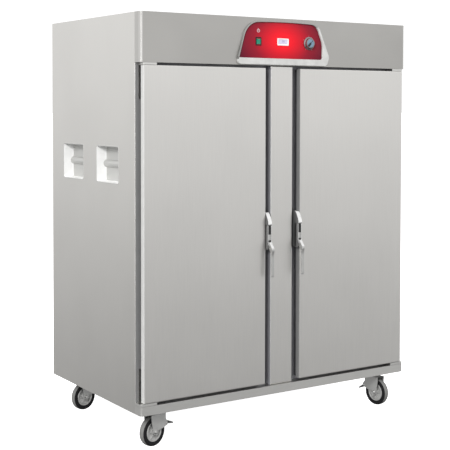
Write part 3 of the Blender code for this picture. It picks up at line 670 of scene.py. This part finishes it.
def build_door(word, side):
    body = f"{word}_door"
    x, y, z = spans(f"{word}_door_skin")
    skin = folded("y", x, z, FACE, y[1], 0.003, 0.0035)
    hinge = joint_place(f"{word}_door_hinge")
    pins = lathe([(0.0046, z[0] - 0.01), (0.0046, z[1] + 0.01)], "z", (hinge.x, hinge.y, 0), 20)
    piece(
        f"{word}_door_shell", combined("DIFFERENCE", skin, pins), body, "door_steel", f"{word}_door_skin",
        # The outer side face takes a lighter copy of the steel as a painted highlight, and the inner side
        # face a darker one as painted shade.
        trims=[
            ("edge_steel", lambda normal, centre: normal.x * side > 0.5),
            ("shade_steel", lambda normal, centre: normal.x * side < -0.5),
        ],
    )
    build_inner_panel(word)
    x, (front, back), z = spans(f"{word}_door_gasket")
    width, bulb = 0.016, 0.0095
    profile = [(0.0, front), (0.0, front + 0.0045), (0.003, front + 0.006), (0.0005, front + 0.0085)]
    for t in evenly(0.2, 2.94, 8):
        profile.append((width / 2 - 0.0078 * math.cos(t), back - bulb + bulb * math.sin(t)))
    profile += [(width - 0.0005, front + 0.0085), (width - 0.003, front + 0.006)]
    profile += [(width, front + 0.0045), (width, front)]
    seal = framed(profile, "y", x, z, 0.004, closed=True)
    piece(f"{word}_door_seal", seal, body, "gasket_rubber", f"{word}_door_gasket", sharp=50)
    build_latch(word)


def build_bracket(word, side, place):
    """Hinge bracket whose outer front corner follows the rail's or the header's, with its leg and its pin."""
    node = f"{word}_{place}_hinge_bracket"
    x, (front, back), z = spans(node)
    door_x, _, door_z = spans(f"{word}_door_skin")
    if place == "top":
        edge, limit, bend = door_z[1] + BRACKET_GAP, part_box("header_fascia")[0].z - BRACKET_GAP, 0.002
        leg_end, pin_end = z[0], edge - 0.0125
    else:
        edge, limit, bend = door_z[0] - BRACKET_GAP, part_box("bottom_rail")[1].z + BRACKET_GAP, RAIL_BEND
        leg_end, pin_end = z[1], edge + 0.0125
    inner, outer = sorted(map(abs, x))
    corner = arc(outer - bend, front + bend, bend, -90, 0, 8)
    plan = [(side * across, y) for across, y in [(inner, back), (inner, front), *corner, (outer, back)]]
    hinge = joint_place(f"{word}_door_hinge")
    leg_x = span(side, abs(hinge.x) - 0.001, max(map(abs, door_x)))
    solids = [softened(prism(plan, "z", *sorted((edge, limit))), 0.0004, 2, 60)]
    solids.append(softened(block(leg_x, (back - 0.0027, back), sorted((edge, leg_end))), 0.0006, 2))
    solids.append(lathe([(0.004, limit), (0.004, pin_end)], "z", (hinge.x, hinge.y, 0), 20))
    form(node, solids, "rail_steel")


def build_inner_panel(word):
    """Door's back: a flat flange, a rounded step and a raised middle, all in one sheet."""
    node = f"{word}_door_inner_panel"
    x, y, z = spans(node)
    seal_x, seal_y, seal_z = spans(f"{word}_door_gasket")
    back = seal_y[0] - GAP
    stand = y[1] - back
    step = 0.022 - 0.003
    flange = framed([(0, back - SHEET), (0, back)], "y", x, z, 0.002)
    dish = framed(
        [(0.0012, back - SHEET / 2), (0.0, back + stand * 0.1), (0.0, y[1] - 0.004), (0.0012, y[1] - 0.0012),
         (0.004, y[1]), (0.008, y[1])],
        "y", (seal_x[0] + step, seal_x[1] - step), (seal_z[0] + step, seal_z[1] - step), 0.012,
    )
    form(node, [flange, dish], "liner_steel", f"{word}_door")


def build_latch(word):
    """Chrome hood and ears on the door's edge, a black block between them as painted shade in the slot, and a
    lever on a cross pin.
    """
    x, _, (bottom, top) = spans(f"{word}_latch_body")
    lever_x, _, (tip, _) = spans(f"{word}_latch_lever")
    pin = joint_place(f"{word}_latch_pivot")
    hood = shifted((FRONT, top), [
        (-0.021, 0), (-0.043, -0.001), (-0.053, -0.01), (-0.066, -0.032), (-0.072, -0.046), (-0.072, -0.058),
        (-0.06, -0.065), (-0.021, -0.065),
    ])
    spine = block(x, (FRONT - 0.053, FRONT - 0.021), (bottom + 0.004, top - 0.06))
    ear = shifted((FRONT, top), [(-0.04, -0.058), (-0.066, -0.058), (-0.067, -0.068)])
    ear += shifted((FRONT, pin.z), [(-0.067, 0.014), (-0.077, 0.003), (-0.077, -0.006)])
    ear += shifted((FRONT, bottom), [(-0.06, 0.002), (-0.04, 0.002)])
    wall = (x[1] - x[0] - (lever_x[1] - lever_x[0])) / 2 - 0.0004
    solids = [softened(prism(hood, "x", *x), 0.0032, 4, 25), softened(spine, 0.002, 3)]
    for ear_x in ((x[0], x[0] + wall), (x[1] - wall, x[1])):
        solids.append(softened(prism(ear, "x", *ear_x), 0.0011, 2, 25))
    middle, end = (x[0] + x[1]) / 2, (x[1] - x[0]) / 2
    rivet = [(0.003, 0), (0.003, end * 0.99), (0.0044, end * 0.99)]
    rivet += [(0.004, end + 0.0008), (0.0025, end + 0.0013)]
    for sign in (-1, 1):
        stations = [(radius, sign * along) for radius, along in rivet]
        solids.append(lathe(stations, "x", (middle, pin.y, pin.z), 16))
    sides = ("cast_grey", lambda normal, centre: abs(normal.x) > 0.7)
    piece(f"{word}_latch_casting", solids, f"{word}_door", "chrome", f"{word}_latch_body", trims=[sides])
    between = (x[0] + wall, x[1] - wall)
    # A black block in the slot between the ears: painted shade in the hollow.
    dark = block(between, (FRONT - 0.0655, FRONT - 0.05), (pin.z + 0.045, top - 0.062))
    webs = [
        block(between, (FRONT - 0.066, FRONT - 0.05), (pin.z + 0.02, pin.z + 0.046)),
        block(between, (FRONT - 0.0535, FRONT - 0.05), (bottom + 0.012, pin.z + 0.022)),
    ]
    piece(f"{word}_latch_slot_painted_shade", softened(dark, 0.001), f"{word}_door", "black_plastic")
    piece(f"{word}_latch_web", [softened(web, 0.001) for web in webs], f"{word}_door", "lever_chrome")
    build_lever(word, lever_x, pin, tip)


def build_lever(word, x, pin, tip):
    """Bent lever: nose, knuckle and a long blade with a curled tip."""
    outline = shifted((FRONT, pin.z), [
        (-0.063, 0.011), (-0.07, 0.013), (-0.078, 0.006), (-0.088, -0.004), (-0.095, -0.013),
        (-0.0968, -0.022), (-0.095, -0.031), (-0.092, -0.04), (-0.0912, -0.055),
    ])
    outline += shifted((FRONT, tip), [(-0.0926, 0.012), (-0.0918, 0.003), (-0.0898, 0), (-0.0876, 0.002)])
    outline += [(FRONT - 0.0868, tip + 0.012)]
    back = [(-0.0852, -0.055), (-0.0838, -0.038), (-0.074, -0.022), (-0.065, -0.01)]
    outline += shifted((FRONT, pin.z), back)
    lever = softened(prism(outline, "x", *x), 0.0022, 3, 50)
    bore = lathe([(0.0033, x[0] - 0.01), (0.0033, x[1] + 0.01)], "x", (0, pin.y, pin.z), 16)
    # Faces turned up and forward take the bright chrome instead of the lever's satin: a painted highlight on
    # the knuckle.
    knuckle = ("chrome", lambda normal, centre: normal.z > 0.35 and normal.y < -0.2)
    lever = combined("DIFFERENCE", lever, bore)
    form(f"{word}_latch_lever", lever, "lever_chrome", f"{word}_lever", sharp=40, trims=[knuckle])


def build_strike(word, side):
    """Grey keeper on the front frame, in the gap beside the mullion, that the latch closes over."""
    low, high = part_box(f"{word}_latch_body")
    bottom, top = low.z + 0.004, high.z - 0.004
    plate = block(span(side, 0.0655, 0.0885), (FRONT - 0.003, FRONT), (bottom - 0.012, top + 0.012))
    keeper = shifted((FRONT, top), [(-0.002, 0), (-0.015, -0.004), (-0.0185, -0.012)])
    keeper += shifted((FRONT, bottom), [(-0.0185, 0.01), (-0.016, 0.003), (-0.002, 0)])
    hook = softened(prism(keeper, "x", *span(side, 0.067, 0.087)), 0.0015)
    piece(f"{word}_latch_strike", [softened(plate, 0.0008), hook], "cabinet", "cast_grey")
    screws(f"{word}_strike_screws", [(side * 0.077, FRONT - 0.003, bottom - 0.006)])


# ---------------------------------------------------------------- controls

# Corners of the bezel and the red plate: x, height above the underside, corner radius.
BEZEL = [
    (-0.254, 1.48, 0.018), (0.243, 1.48, 0.022), (0.256, 1.52, 0.03), (0.192, 1.672, 0.045),
    (-0.202, 1.672, 0.08),
]
PLATE = [
    (-0.248, 1.511, 0.006), (0.214, 1.511, 0.01), (0.214, 1.585, 0.08), (0.18, 1.665, 0.046),
    (-0.194, 1.665, 0.074),
]
# How far the middle of the panel's top edge rises.
CROWN = 0.006


def panel_outline(corners, grow, y):
    """An outline of the control panel, grown by about a distance, with its top edge slightly arched."""
    middle_x = sum(corner[0] for corner in corners) / len(corners)
    middle_z = sum(corner[1] for corner in corners) / len(corners)
    grown = []
    for x, z, radius in corners:
        across = grow if x > middle_x else -grow
        up = grow if z > middle_z else -grow
        grown.append((x + across, z + up, max(radius + grow, 0.003)))
    points = rounded(grown, 9)
    low = min(z for x, z in points)
    high = max(z for x, z in points)
    loop = []
    for x, z in points:
        loop.append((x, y, BOTTOM + z + CROWN * ((z - low) / (high - low)) ** 4 * (1 - (x / 0.2) ** 2)))
    return with_top_points(loop)


def with_top_points(loop):
    """A loop whose long top edge has extra points, so that its arch is smooth."""
    height = sum(point[2] for point in loop) / len(loop)
    upper = [i for i in range(len(loop)) if loop[i][2] > height]
    at = max(upper, key=lambda i: (Vector(loop[i]) - Vector(loop[i - 1])).length)
    start, end = Vector(loop[at - 1]), Vector(loop[at])
    extra = []
    for i in range(1, 8):
        t = i / 8
        point = start.lerp(end, t)
        point.z += CROWN * 4 * t * (1 - t) * ((end.x - start.x) / 0.4) ** 2
        extra.append(tuple(point))
    return loop[:at] + extra + loop[at:]


def build_controls():
    """Bezel round a slightly domed red plate, with the switch, the display and the knob on it."""
    (left, _), (front, _), (bottom, top) = spans("control_face")
    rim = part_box("control_bezel")[0].y
    stations = [(BEZEL, 0.0, FACE), (BEZEL, -0.0004, rim + 0.006), (BEZEL, -0.0012, rim + 0.0025)]
    stations += [(BEZEL, -0.0022, rim + 0.0006), (BEZEL, -0.0035, rim)]
    stations += [(PLATE, 0.0014, rim), (PLATE, 0.0008, rim + 0.001), (PLATE, 0.0004, rim + 0.003)]
    stations += [(PLATE, 0.0004, FACE)]

    # The bezel's left rim and top edge take a darker grey than the silver: painted shade.
    def shaded(normal, centre):
        return centre.z > bottom and (centre.x < left + 0.06 or centre.z > top - 0.01)

    bezel = loft([panel_outline(*station) for station in stations], closed=True)
    form("control_bezel", bezel, "silver_plastic", sharp=50, trims=[("rim_grey", shaded)])
    dome = [(PLATE, 0.0, FACE - GAP), (PLATE, 0.0, front + 0.002)]
    dome += [(PLATE, -0.042 * t, front + 0.002 * (1 - t) ** 2) for t in (0.08, 0.2, 0.4, 0.7, 1.0)]
    form("control_face", loft([panel_outline(*station) for station in dome]), "red_glaze", sharp=60)
    build_switch(front)
    build_display(front)
    build_knob(front)
    finish_node("grey_plastic", "thermostat")


def build_switch(front):
    """Black frame, a green rocker that is tipped to on, and a power symbol above it."""
    x, _, z = spans("power_switch_frame")
    wall = 0.0042
    stations = shifted((0, front), [
        (0, 0.003), (0, -0.0018), (0.0008, -0.003), (wall - 0.001, -0.0026), (wall, -0.0015), (wall, 0.01),
        (0.0056, 0.01), (0.0056, 0.003),
    ])
    form("power_switch_frame", framed(stations, "y", x, z, 0.003, closed=True), "black_plastic")
    pin = joint_place("power_rocker_tilt")
    outline = [(-0.0042, -0.0118), (-0.0034, -0.007), (-0.003, 0.0), (-0.0034, 0.007), (-0.0042, 0.0118)]
    outline += [(0.004, 0.0106), (0.008, 0.003), (0.008, -0.003), (0.004, -0.0106)]
    width = [edge - pin.x for edge in spans("power_rocker")[0]]
    rocker = softened(prism(outline, "x", *width), 0.0008, 2, 40)
    tipped = Matrix.Translation(pin) @ turned(7, "X")
    form("power_rocker", moved(rocker, tipped), "green_lens", "rocker")
    bar = moved(block((-0.0006, 0.0006), (-0.0043, -0.0036), (0.0045, 0.0095)), tipped)
    piece("power_rocker_mark", softened(bar, 0.0002), "rocker", "white_ink")
    middle, height = (x[0] + x[1]) / 2, (z[0] + z[1]) / 2 + 0.047
    ring = [(0.0052, 0.0002), (0.0078, 0.0002), (0.0078, -0.0003), (0.0052, -0.0003)]
    ring = lathe(ring, "y", (middle, front, height), 28, closed=True)
    stroke = block(about(middle, 0.0013), (front - 0.0003, front + 0.0002), (height, height + 0.01))
    piece("power_symbol", [ring, stroke], "cabinet", "white_ink")


# The bars of a seven-segment figure: a at the top, then clockwise to f, with g in the middle.
SEGMENTS = {"3": "abgcd", "8": "abcdefg"}


def digit(mark, x, z, height, front):
    """A seven-segment figure made of thin bars."""
    half, bar = height / 2, height * 0.09
    across, up = height * 0.27, half * 0.92
    places = {"a": (0, half), "g": (0, 0), "d": (0, -half), "f": (-across, half / 2), "b": (across, half / 2)}
    places |= {"e": (-across, -half / 2), "c": (across, -half / 2)}
    bars = []
    for letter in SEGMENTS[mark]:
        right, rise = places[letter]
        wide, tall = (across * 0.82, bar / 2) if letter in "agd" else (bar / 2, up / 2 * 0.86)
        bars.append(block(about(x + right, wide), about(front, 0.0002), about(z + rise, tall)))
    return bars


def build_display(front):
    """White frame, a glass, two figures and a row of four red marks."""
    x, _, z = spans("temperature_display")
    rim = [(0, 0.003), (0, -0.0014), (0.0007, -0.0024), (0.0045, -0.0022), (0.006, -0.0012), (0.006, 0.003)]
    rim = shifted((0, front), rim)
    rim_mesh = framed(rim, "y", x, z, 0.0035, closed=True)
    piece("display_rim", rim_mesh, "cabinet", "display_frame", "temperature_display")
    glass_front = front - 0.0009
    glass = framed([(0.006, front + 0.003), (0.006, glass_front), (0.01, glass_front)], "y", x, z, 0.004)
    piece("display_glass_form", glass, "cabinet", "display_glass")
    middle = (x[0] + x[1]) / 2
    bars = []
    for i, mark in enumerate("38"):
        bars += digit(mark, middle - 0.0046 + 0.0092 * i, z[1] - 0.0125, 0.0095, glass_front)
    piece("display_figures", bars, "cabinet", "display_violet")
    marks = []
    for i in range(4):
        outline = shifted((middle - 0.012 + 0.008 * i, z[0] + 0.0082), circle(0.0011, 12))
        marks.append(prism(outline, "y", *about(glass_front, 0.0002)))
    piece("display_marks", marks, "cabinet", "display_red")


def build_knob(front):
    """Grey knob with a stepped skirt, a blue-grey inlay and a raised grip, inside a ring of ticks. The grip
    is black as painted shade on the lower-left of the knob's face.
    """
    pin = joint_place("thermostat_turn")
    low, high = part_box("thermostat_knob")
    radius = (high.x - low.x) / 2
    depth = high.y - low.y
    centre = (pin.x, high.y, pin.z)
    profile = [(radius * 0.97, 0.0), (radius, -0.0008), (radius, -0.003), (radius * 0.965, -0.0042)]
    profile += [(radius * 0.84, -0.0062), (radius * 0.8, -0.01)]
    dial = [(0.775, 0.78), (0.745, 0.865), (0.7, 0.9), (0.66, 0.9), (0.64, 0.84), (0.3, 0.84)]
    profile += [(radius * share, -depth * rise) for share, rise in dial]
    form("thermostat_knob", lathe(profile, "y", centre, 48), "knob_grey", "knob")
    dial = [(0.62, 0.8), (0.62, 0.862), (0.6, 0.872), (0.3, 0.88)]
    inlay = lathe([(radius * share, -depth * rise) for share, rise in dial], "y", centre, 40)
    piece("thermostat_knob_inlay", inlay, "knob", "knob_blue")
    slant = Matrix.Translation(centre) @ turned(-135, "Y")
    root, crest = -depth * 0.8, -depth * 0.985
    grip = [(-0.006, root), (-0.0042, crest), (0.0042, crest), (0.006, root)]
    grip = prism(grip, "z", -radius * 0.05, radius * 0.6)
    tail = block(about(0, 0.0012), (-depth * 0.93, root), (-radius * 0.55, 0.0))
    grip = [moved(softened(grip, 0.0012, 3), slant), moved(softened(tail, 0.0004, 2), slant)]
    # The black of the raised grip is painted shade on the knob's lower-left.
    piece("thermostat_knob_shaded_grip", grip, "knob", "black_plastic")
    ticks = []
    for i in range(11):
        reach = radius + (0.006 if i % 5 == 0 else 0.0045)
        tick = block(about(0, 0.0004), about(0, 0.0003), (radius + 0.0025, reach))
        ticks.append(moved(tick, Matrix.Translation((pin.x, front, pin.z)), turned(-150 + 30 * i, "Y")))
    piece("thermostat_scale", ticks, "cabinet", "white_ink")


# ---------------------------------------------------------------- inside


def build_interior():
    ladders = ["left_outer", "left_centre", "right_centre", "right_outer"]
    finish_node("liner_steel", *(f"{word}_tray_ladder" for word in ladders))
    finish_node("tinted_steel", "heating_element")
    x, y, z = spans("water_pan")
    corner, bead = 0.022, 0.0022
    rim = []
    for t in evenly(0, 2 * math.pi * 7 / 8, 8):
        rim.append((SHEET / 2 - bead * math.cos(t), z[1] - bead + bead * math.sin(t)))
    solids = [folded("z", x, y, *z, 0.008, corner), framed(rim, "z", x, y, corner, closed=True)]
    form("water_pan", solids, "liner_steel")


def build_gland():
    low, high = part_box("cable_gland")
    centre = ((low.x + high.x) / 2, BACK, (low.z + high.z) / 2)
    bore, reach = 0.005, high.y - BACK
    base = [(bore, 0), (0.016, 0), (0.016, 0.0012), (bore, 0.0012)]
    nut = [(bore, 0.001), (0.0155, 0.001), (0.016, 0.0018), (0.016, 0.0066), (0.0148, 0.0076), (bore, 0.0076)]
    dome = [(bore, 0.007), (0.0125, 0.007), (0.0125, 0.016), (0.0112, 0.02), (0.009, reach), (bore, reach)]
    shapes = ((base, 28), (nut, 6), (dome, 28))
    solids = [lathe(shape, "y", centre, steps, closed=True) for shape, steps in shapes]
    form("cable_gland", solids, "black_plastic")


# ---------------------------------------------------------------- casters

TRAIL = 0.032
PEDAL_PIN = (0.034, 0, 0.088)
# Degrees that each pedal hangs down at rest.
PEDAL_TURNS = {"front_left": 8, "front_right": 30}
WHEEL_RADIUS = 0.0625
WHEEL_WIDTH = 0.032
FORK_WIDTHS = (0.0195, 0.0225)


def mirrored(profile):
    """A profile of (radius, distance along) with its mirror image after it, the other way round."""
    return profile + [(radius, -along) for radius, along in reversed(profile)]


def caster_matrix(name):
    """From the caster's own space, about its swivel axis with the wheel behind it, to the frame."""
    place = joint_place(f"{name}_swivel_turn")
    axle = JOINTS[f"{name}_wheel_spin"]["axis"]
    return Matrix.Translation((place.x, place.y, 0)) @ Matrix.Rotation(math.atan2(-axle[0], axle[1]), 4, "Z")


def fork_solids(axle_height, crown, braked):
    """Bridge with a domed swivel race, two rounded legs, the axle bolt and its nut, and the pedal's pin."""
    inner, outer = FORK_WIDTHS
    rear, nose = -0.058, 0.029
    axle = (-TRAIL, 0, axle_height)
    solids = [softened(block((rear, nose), (-outer, outer), (crown - 0.004, crown)), 0.0012, 2)]
    race = shifted((0, crown), [(0.0262, -0.0045), (0.0275, -0.003), (0.0275, 0.0005), (0.0255, 0.003)])
    solids.append(lathe(race, "z", ORIGIN, 32))
    outline = [(rear, crown), (nose, crown), (nose, 0.108), (0.04, 0.095), (0.041, 0.086), (0.038, 0.08)]
    outline += [(0.01, 0.07)] + arc(-TRAIL, axle_height, 0.013, 20, -180, 14)
    outline += [(-0.05, axle_height + 0.02), (-0.056, crown - 0.028)]
    for sign in (-1, 1):
        solids.append(softened(prism(outline, "y", *sorted((sign * inner, sign * outer))), 0.0007, 2, 40))
        boss = [(0.009, outer * 0.98), (0.0095, outer + 0.0004), (0.0095, outer + 0.0012)]
        solids.append(lathe([(radius, sign * along) for radius, along in boss], "y", axle, 24))
    head = [(0.0078, outer), (0.0082, outer + 0.0008), (0.0082, outer + 0.0052), (0.007, outer + 0.006)]
    solids.append(lathe(head, "y", axle, 6))
    solids.append(lathe([(radius, -along) for radius, along in head], "y", axle, 6))
    bolt = [(0.005, 0.0295), (0.005, -0.0295), (0.0048, -0.0298), (0.0042, -0.0303)]
    solids.append(lathe(bolt, "y", axle, 20))
    if braked:
        solids.append(lathe([(0.003, -0.024), (0.003, 0.024)], "y", PEDAL_PIN, 16))
        for sign in (-1, 1):
            cap = [(0.0052, sign * outer), (0.0052, sign * 0.024), (0.0036, sign * 0.025)]
            solids.append(lathe(cap, "y", PEDAL_PIN, 16))
    return solids


def tyre_solid():
    """Tread with a rounded crown, square shoulders and a moulded groove on each wall."""
    half = WHEEL_WIDTH / 2
    profile = shifted((0, half), [
        (0.0434, -0.0035), (0.045, -0.0012), (0.048, -0.0004), (0.05, -0.0012), (0.052, 0), (0.0565, 0),
        (0.06, -0.0016), (0.0617, -0.005), (WHEEL_RADIUS - 0.0002, -0.009),
    ])
    return lathe(mirrored([*profile, (WHEEL_RADIUS, 0.0015)]), "y", ORIGIN, 64, closed=True)


def hub_solids():
    """Rim, thin web with spokes raised on it, and the bearing boss."""
    rim = [(0.0368, 0.013), (0.038, 0.0142), (0.0418, 0.0142), (0.043, 0.013)]
    web = [(0.014, 0.006), (0.0374, 0.006)]
    boss = [(0.0054, 0.017), (0.0062, 0.0185), (0.012, 0.0185), (0.0142, 0.0172)]
    boss += [(0.0155, 0.01), (0.0155, 0.005)]
    solids = [lathe(mirrored(shape), "y", ORIGIN, 48, closed=True) for shape in (rim, web, boss)]
    for sign in (-1, 1):
        outline = [(0.013, 0.0055), (0.013, 0.015), (0.038, 0.0105), (0.038, 0.0055)]
        outline = [(radius, sign * along) for radius, along in outline]
        for i in range(6):
            rib = softened(prism(outline, "z", -0.0015, 0.0015), 0.0005)
            solids.append(moved(rib, turned(60 * i, "Y")))
    return solids


def pedal_solids():
    """Barrel round the pin with an arm in front of it, and the ribbed foot that is pressed."""
    barrel = mirrored([(0.0036, -0.0178), (0.0054, -0.018), (0.0058, -0.0174)])
    arm = [(0.0036, 0.0046), (0.018, 0.0034), (0.018, -0.0046), (0.0036, -0.0048)]
    arm = softened(prism(arm, "y", -0.017, 0.017), 0.0008, 2)
    start, lean = 0.017, 0.1
    pad = [(start, -0.0048), (start, 0.0038), (0.045, 0.001), (0.045, -0.0048)]
    pad = [softened(prism(pad, "y", -0.0174, 0.0174), 0.0012, 3)]
    for i in range(4):
        x = 0.022 + 0.0058 * i
        top = 0.0038 - lean * (x - start)
        pad.append(softened(block((x, x + 0.002), (-0.015, 0.015), (top - 0.0008, top + 0.0005)), 0.0003))
    return [lathe(barrel, "y", ORIGIN, 28, closed=True), arm], pad


def build_casters():
    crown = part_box("front_left_caster_fork")[1].z - 0.003
    bolt, tyre, hub = hex_shape(), tyre_solid(), hub_solids()
    for name in ("front_left", "front_right", "rear_left", "rear_right"):
        matrix = caster_matrix(name)
        swivel = matrix.inverted()
        axle = matrix @ Matrix.Translation((-TRAIL, 0, joint_place(f"{name}_wheel_spin").z))
        across = axle.to_3x3() @ Vector((0, 1, 0))
        middle = axle.translation
        braked = f"{name}_brake_press" in JOINTS
        solids = [moved(solid, matrix) for solid in fork_solids(middle.z, crown, braked)]
        piece(
            f"{name}_caster_yoke", solids, f"{name}_swivel", "zinc", f"{name}_caster_fork",
            trims=[
                # The fork's front and rear ends take the near-black zinc: painted shade under the cabinet.
                ("dark_zinc", lambda normal, centre: not -0.05 < (swivel @ centre).x < 0.022),
                ("screw_chrome", lambda normal, centre: abs((swivel @ centre).y) > 0.0232),
            ],
        )
        tread = ("tread_rubber", lambda normal, centre: (centre - middle).cross(across).length > 0.0614)
        body = f"{name}_wheel"
        form(f"{name}_caster_tyre", moved(tyre, axle), "tyre_rubber", body, sharp=60, trims=[tread])
        form(f"{name}_caster_hub", [moved(solid, axle) for solid in hub], "hub_grey", body)
        if braked:
            build_pedal(name, matrix)
        build_plate(name, bolt)


def build_pedal(name, matrix):
    place = matrix @ Matrix.Translation(PEDAL_PIN) @ turned(PEDAL_TURNS[name], "Y")
    arm, pad = ([moved(solid, place) for solid in solids] for solids in pedal_solids())
    form(f"{name}_brake_pedal", arm, "dark_zinc", f"{name}_pedal")
    piece(f"{name}_brake_pedal_pad", pad, f"{name}_pedal", "cast_grey")


def build_plate(name, bolt):
    """Top plate with rounded corners, a domed upper race under it and four bolts."""
    node = f"{name}_caster_plate"
    x, y, (low, high) = spans(node)
    under = high - 0.0032
    stations = [(0.0006, high), (0, high - 0.0006), (0, under + 0.0006), (0.0006, under)]
    middle_x, middle_y = sum(x) / 2, sum(y) / 2
    cup = [(0.03, under + 0.0005), (0.0292, high - 0.0055), (0.027, low)]
    solids = [framed(stations, "z", x, y, 0.008), lathe(cup, "z", (middle_x, middle_y, 0), 36)]
    form(node, solids, "zinc")
    bolts = []
    for dx in (-0.043, 0.043):
        for dy in (-0.032, 0.032):
            spot = Matrix.Translation((middle_x + dx, middle_y + dy, under))
            bolts += [moved(solid, spot) for solid in bolt]
    piece(f"{name}_caster_bolts", bolts, "cabinet", "screw_chrome")


# ---------------------------------------------------------------- stage

CAMERA = Vector((-2.878, -4.455, 1.451))
CAMERA_YAW, CAMERA_PITCH, CAMERA_ROLL = -33.71, -1.99, 0.126
LENS, SHIFT = 87.87, (-0.049, -0.1785)


def build_camera():
    data = bpy.data.cameras.new("camera")
    data.lens = LENS
    data.shift_x, data.shift_y = SHIFT
    camera = linked("camera", data)
    turn = turned(CAMERA_YAW, "Z") @ turned(90 + CAMERA_PITCH, "X") @ turned(CAMERA_ROLL, "Z")
    camera.matrix_world = Matrix.Translation(CAMERA) @ turn
    bpy.context.scene.camera = camera


def build_floor():
    mesh = bpy.data.meshes.new("floor")
    half = 200.0
    corners = [(-half, -half, 0), (half, -half, 0), (half, half, 0), (-half, half, 0)]
    mesh.from_pydata(corners, [], [(0, 1, 2, 3)])
    floor = linked("floor", mesh)
    material, _, shader = shader_of("pale_floor", (0.9, 0.9, 0.9), 0.9)
    settle(shader, {"Specular IOR Level": 0.0, "Emission Color": (1, 1, 1, 1), "Emission Strength": 0.97})
    mesh.materials.append(material)
    floor.visible_glossy = False
    floor.visible_diffuse = False


# The sky's brightness at heights from straight down (-1) to straight up (+1).
SKY = [(-1.0, 0.22), (-0.42, 0.22), (-0.2, 0.51), (-0.02, 1.06), (0.2, 1.28), (0.6, 1.18), (1.0, 1.05)]


def build_sky():
    world = bpy.data.worlds.new("soft_sky")
    bpy.context.scene.world = world
    world.use_nodes = True
    tree = world.node_tree
    where = tree.nodes.new("ShaderNodeTexCoord")
    split = tree.nodes.new("ShaderNodeSeparateXYZ")
    height = tree.nodes.new("ShaderNodeMapRange")
    settle(height, {"From Min": -1.0})
    tree.links.new(where.outputs["Generated"], split.inputs["Vector"])
    tree.links.new(split.outputs["Z"], height.inputs["Value"])
    top = max(level for _, level in SKY)
    stops = [((place + 1) / 2, [level / top] * 3) for place, level in SKY]
    background = tree.nodes["Background"]
    settle(background, {"Strength": top})
    tree.links.new(graded(tree, height.outputs["Result"], stops), background.inputs["Color"])


def build_light(name, place, target, size, power, hidden):
    """An area light that one kind of ray (diffuse or glossy) doesn't see."""
    data = bpy.data.lights.new(name, "AREA")
    data.shape = "RECTANGLE"
    data.size, data.size_y = size
    data.energy = power
    light = linked(name, data)
    light.location = place
    light.rotation_euler = (Vector(target) - Vector(place)).to_track_quat("-Z", "Y").to_euler()
    setattr(light, f"visible_{hidden}", False)


def build_stage():
    bpy.context.scene.view_settings.view_transform = "Standard"
    build_camera()
    build_floor()
    build_sky()
    build_light("key", (-5.2, -4.4, 3.9), (-0.6, 0, 1.2), (1.2, 1.2), 320, "glossy")
    build_light("tall_softbox", (-3.9, -2.9, 1.3), (-0.7, -0.4, 1.1), (0.7, 2.8), 26, "diffuse")


build_stage()
build_carcass()
for word, side in SIDES.items():
    build_door(word, side)
    build_strike(word, side)
    for place in ("top", "bottom"):
        build_bracket(word, side, place)
build_controls()
build_interior()
build_gland()
build_casters()
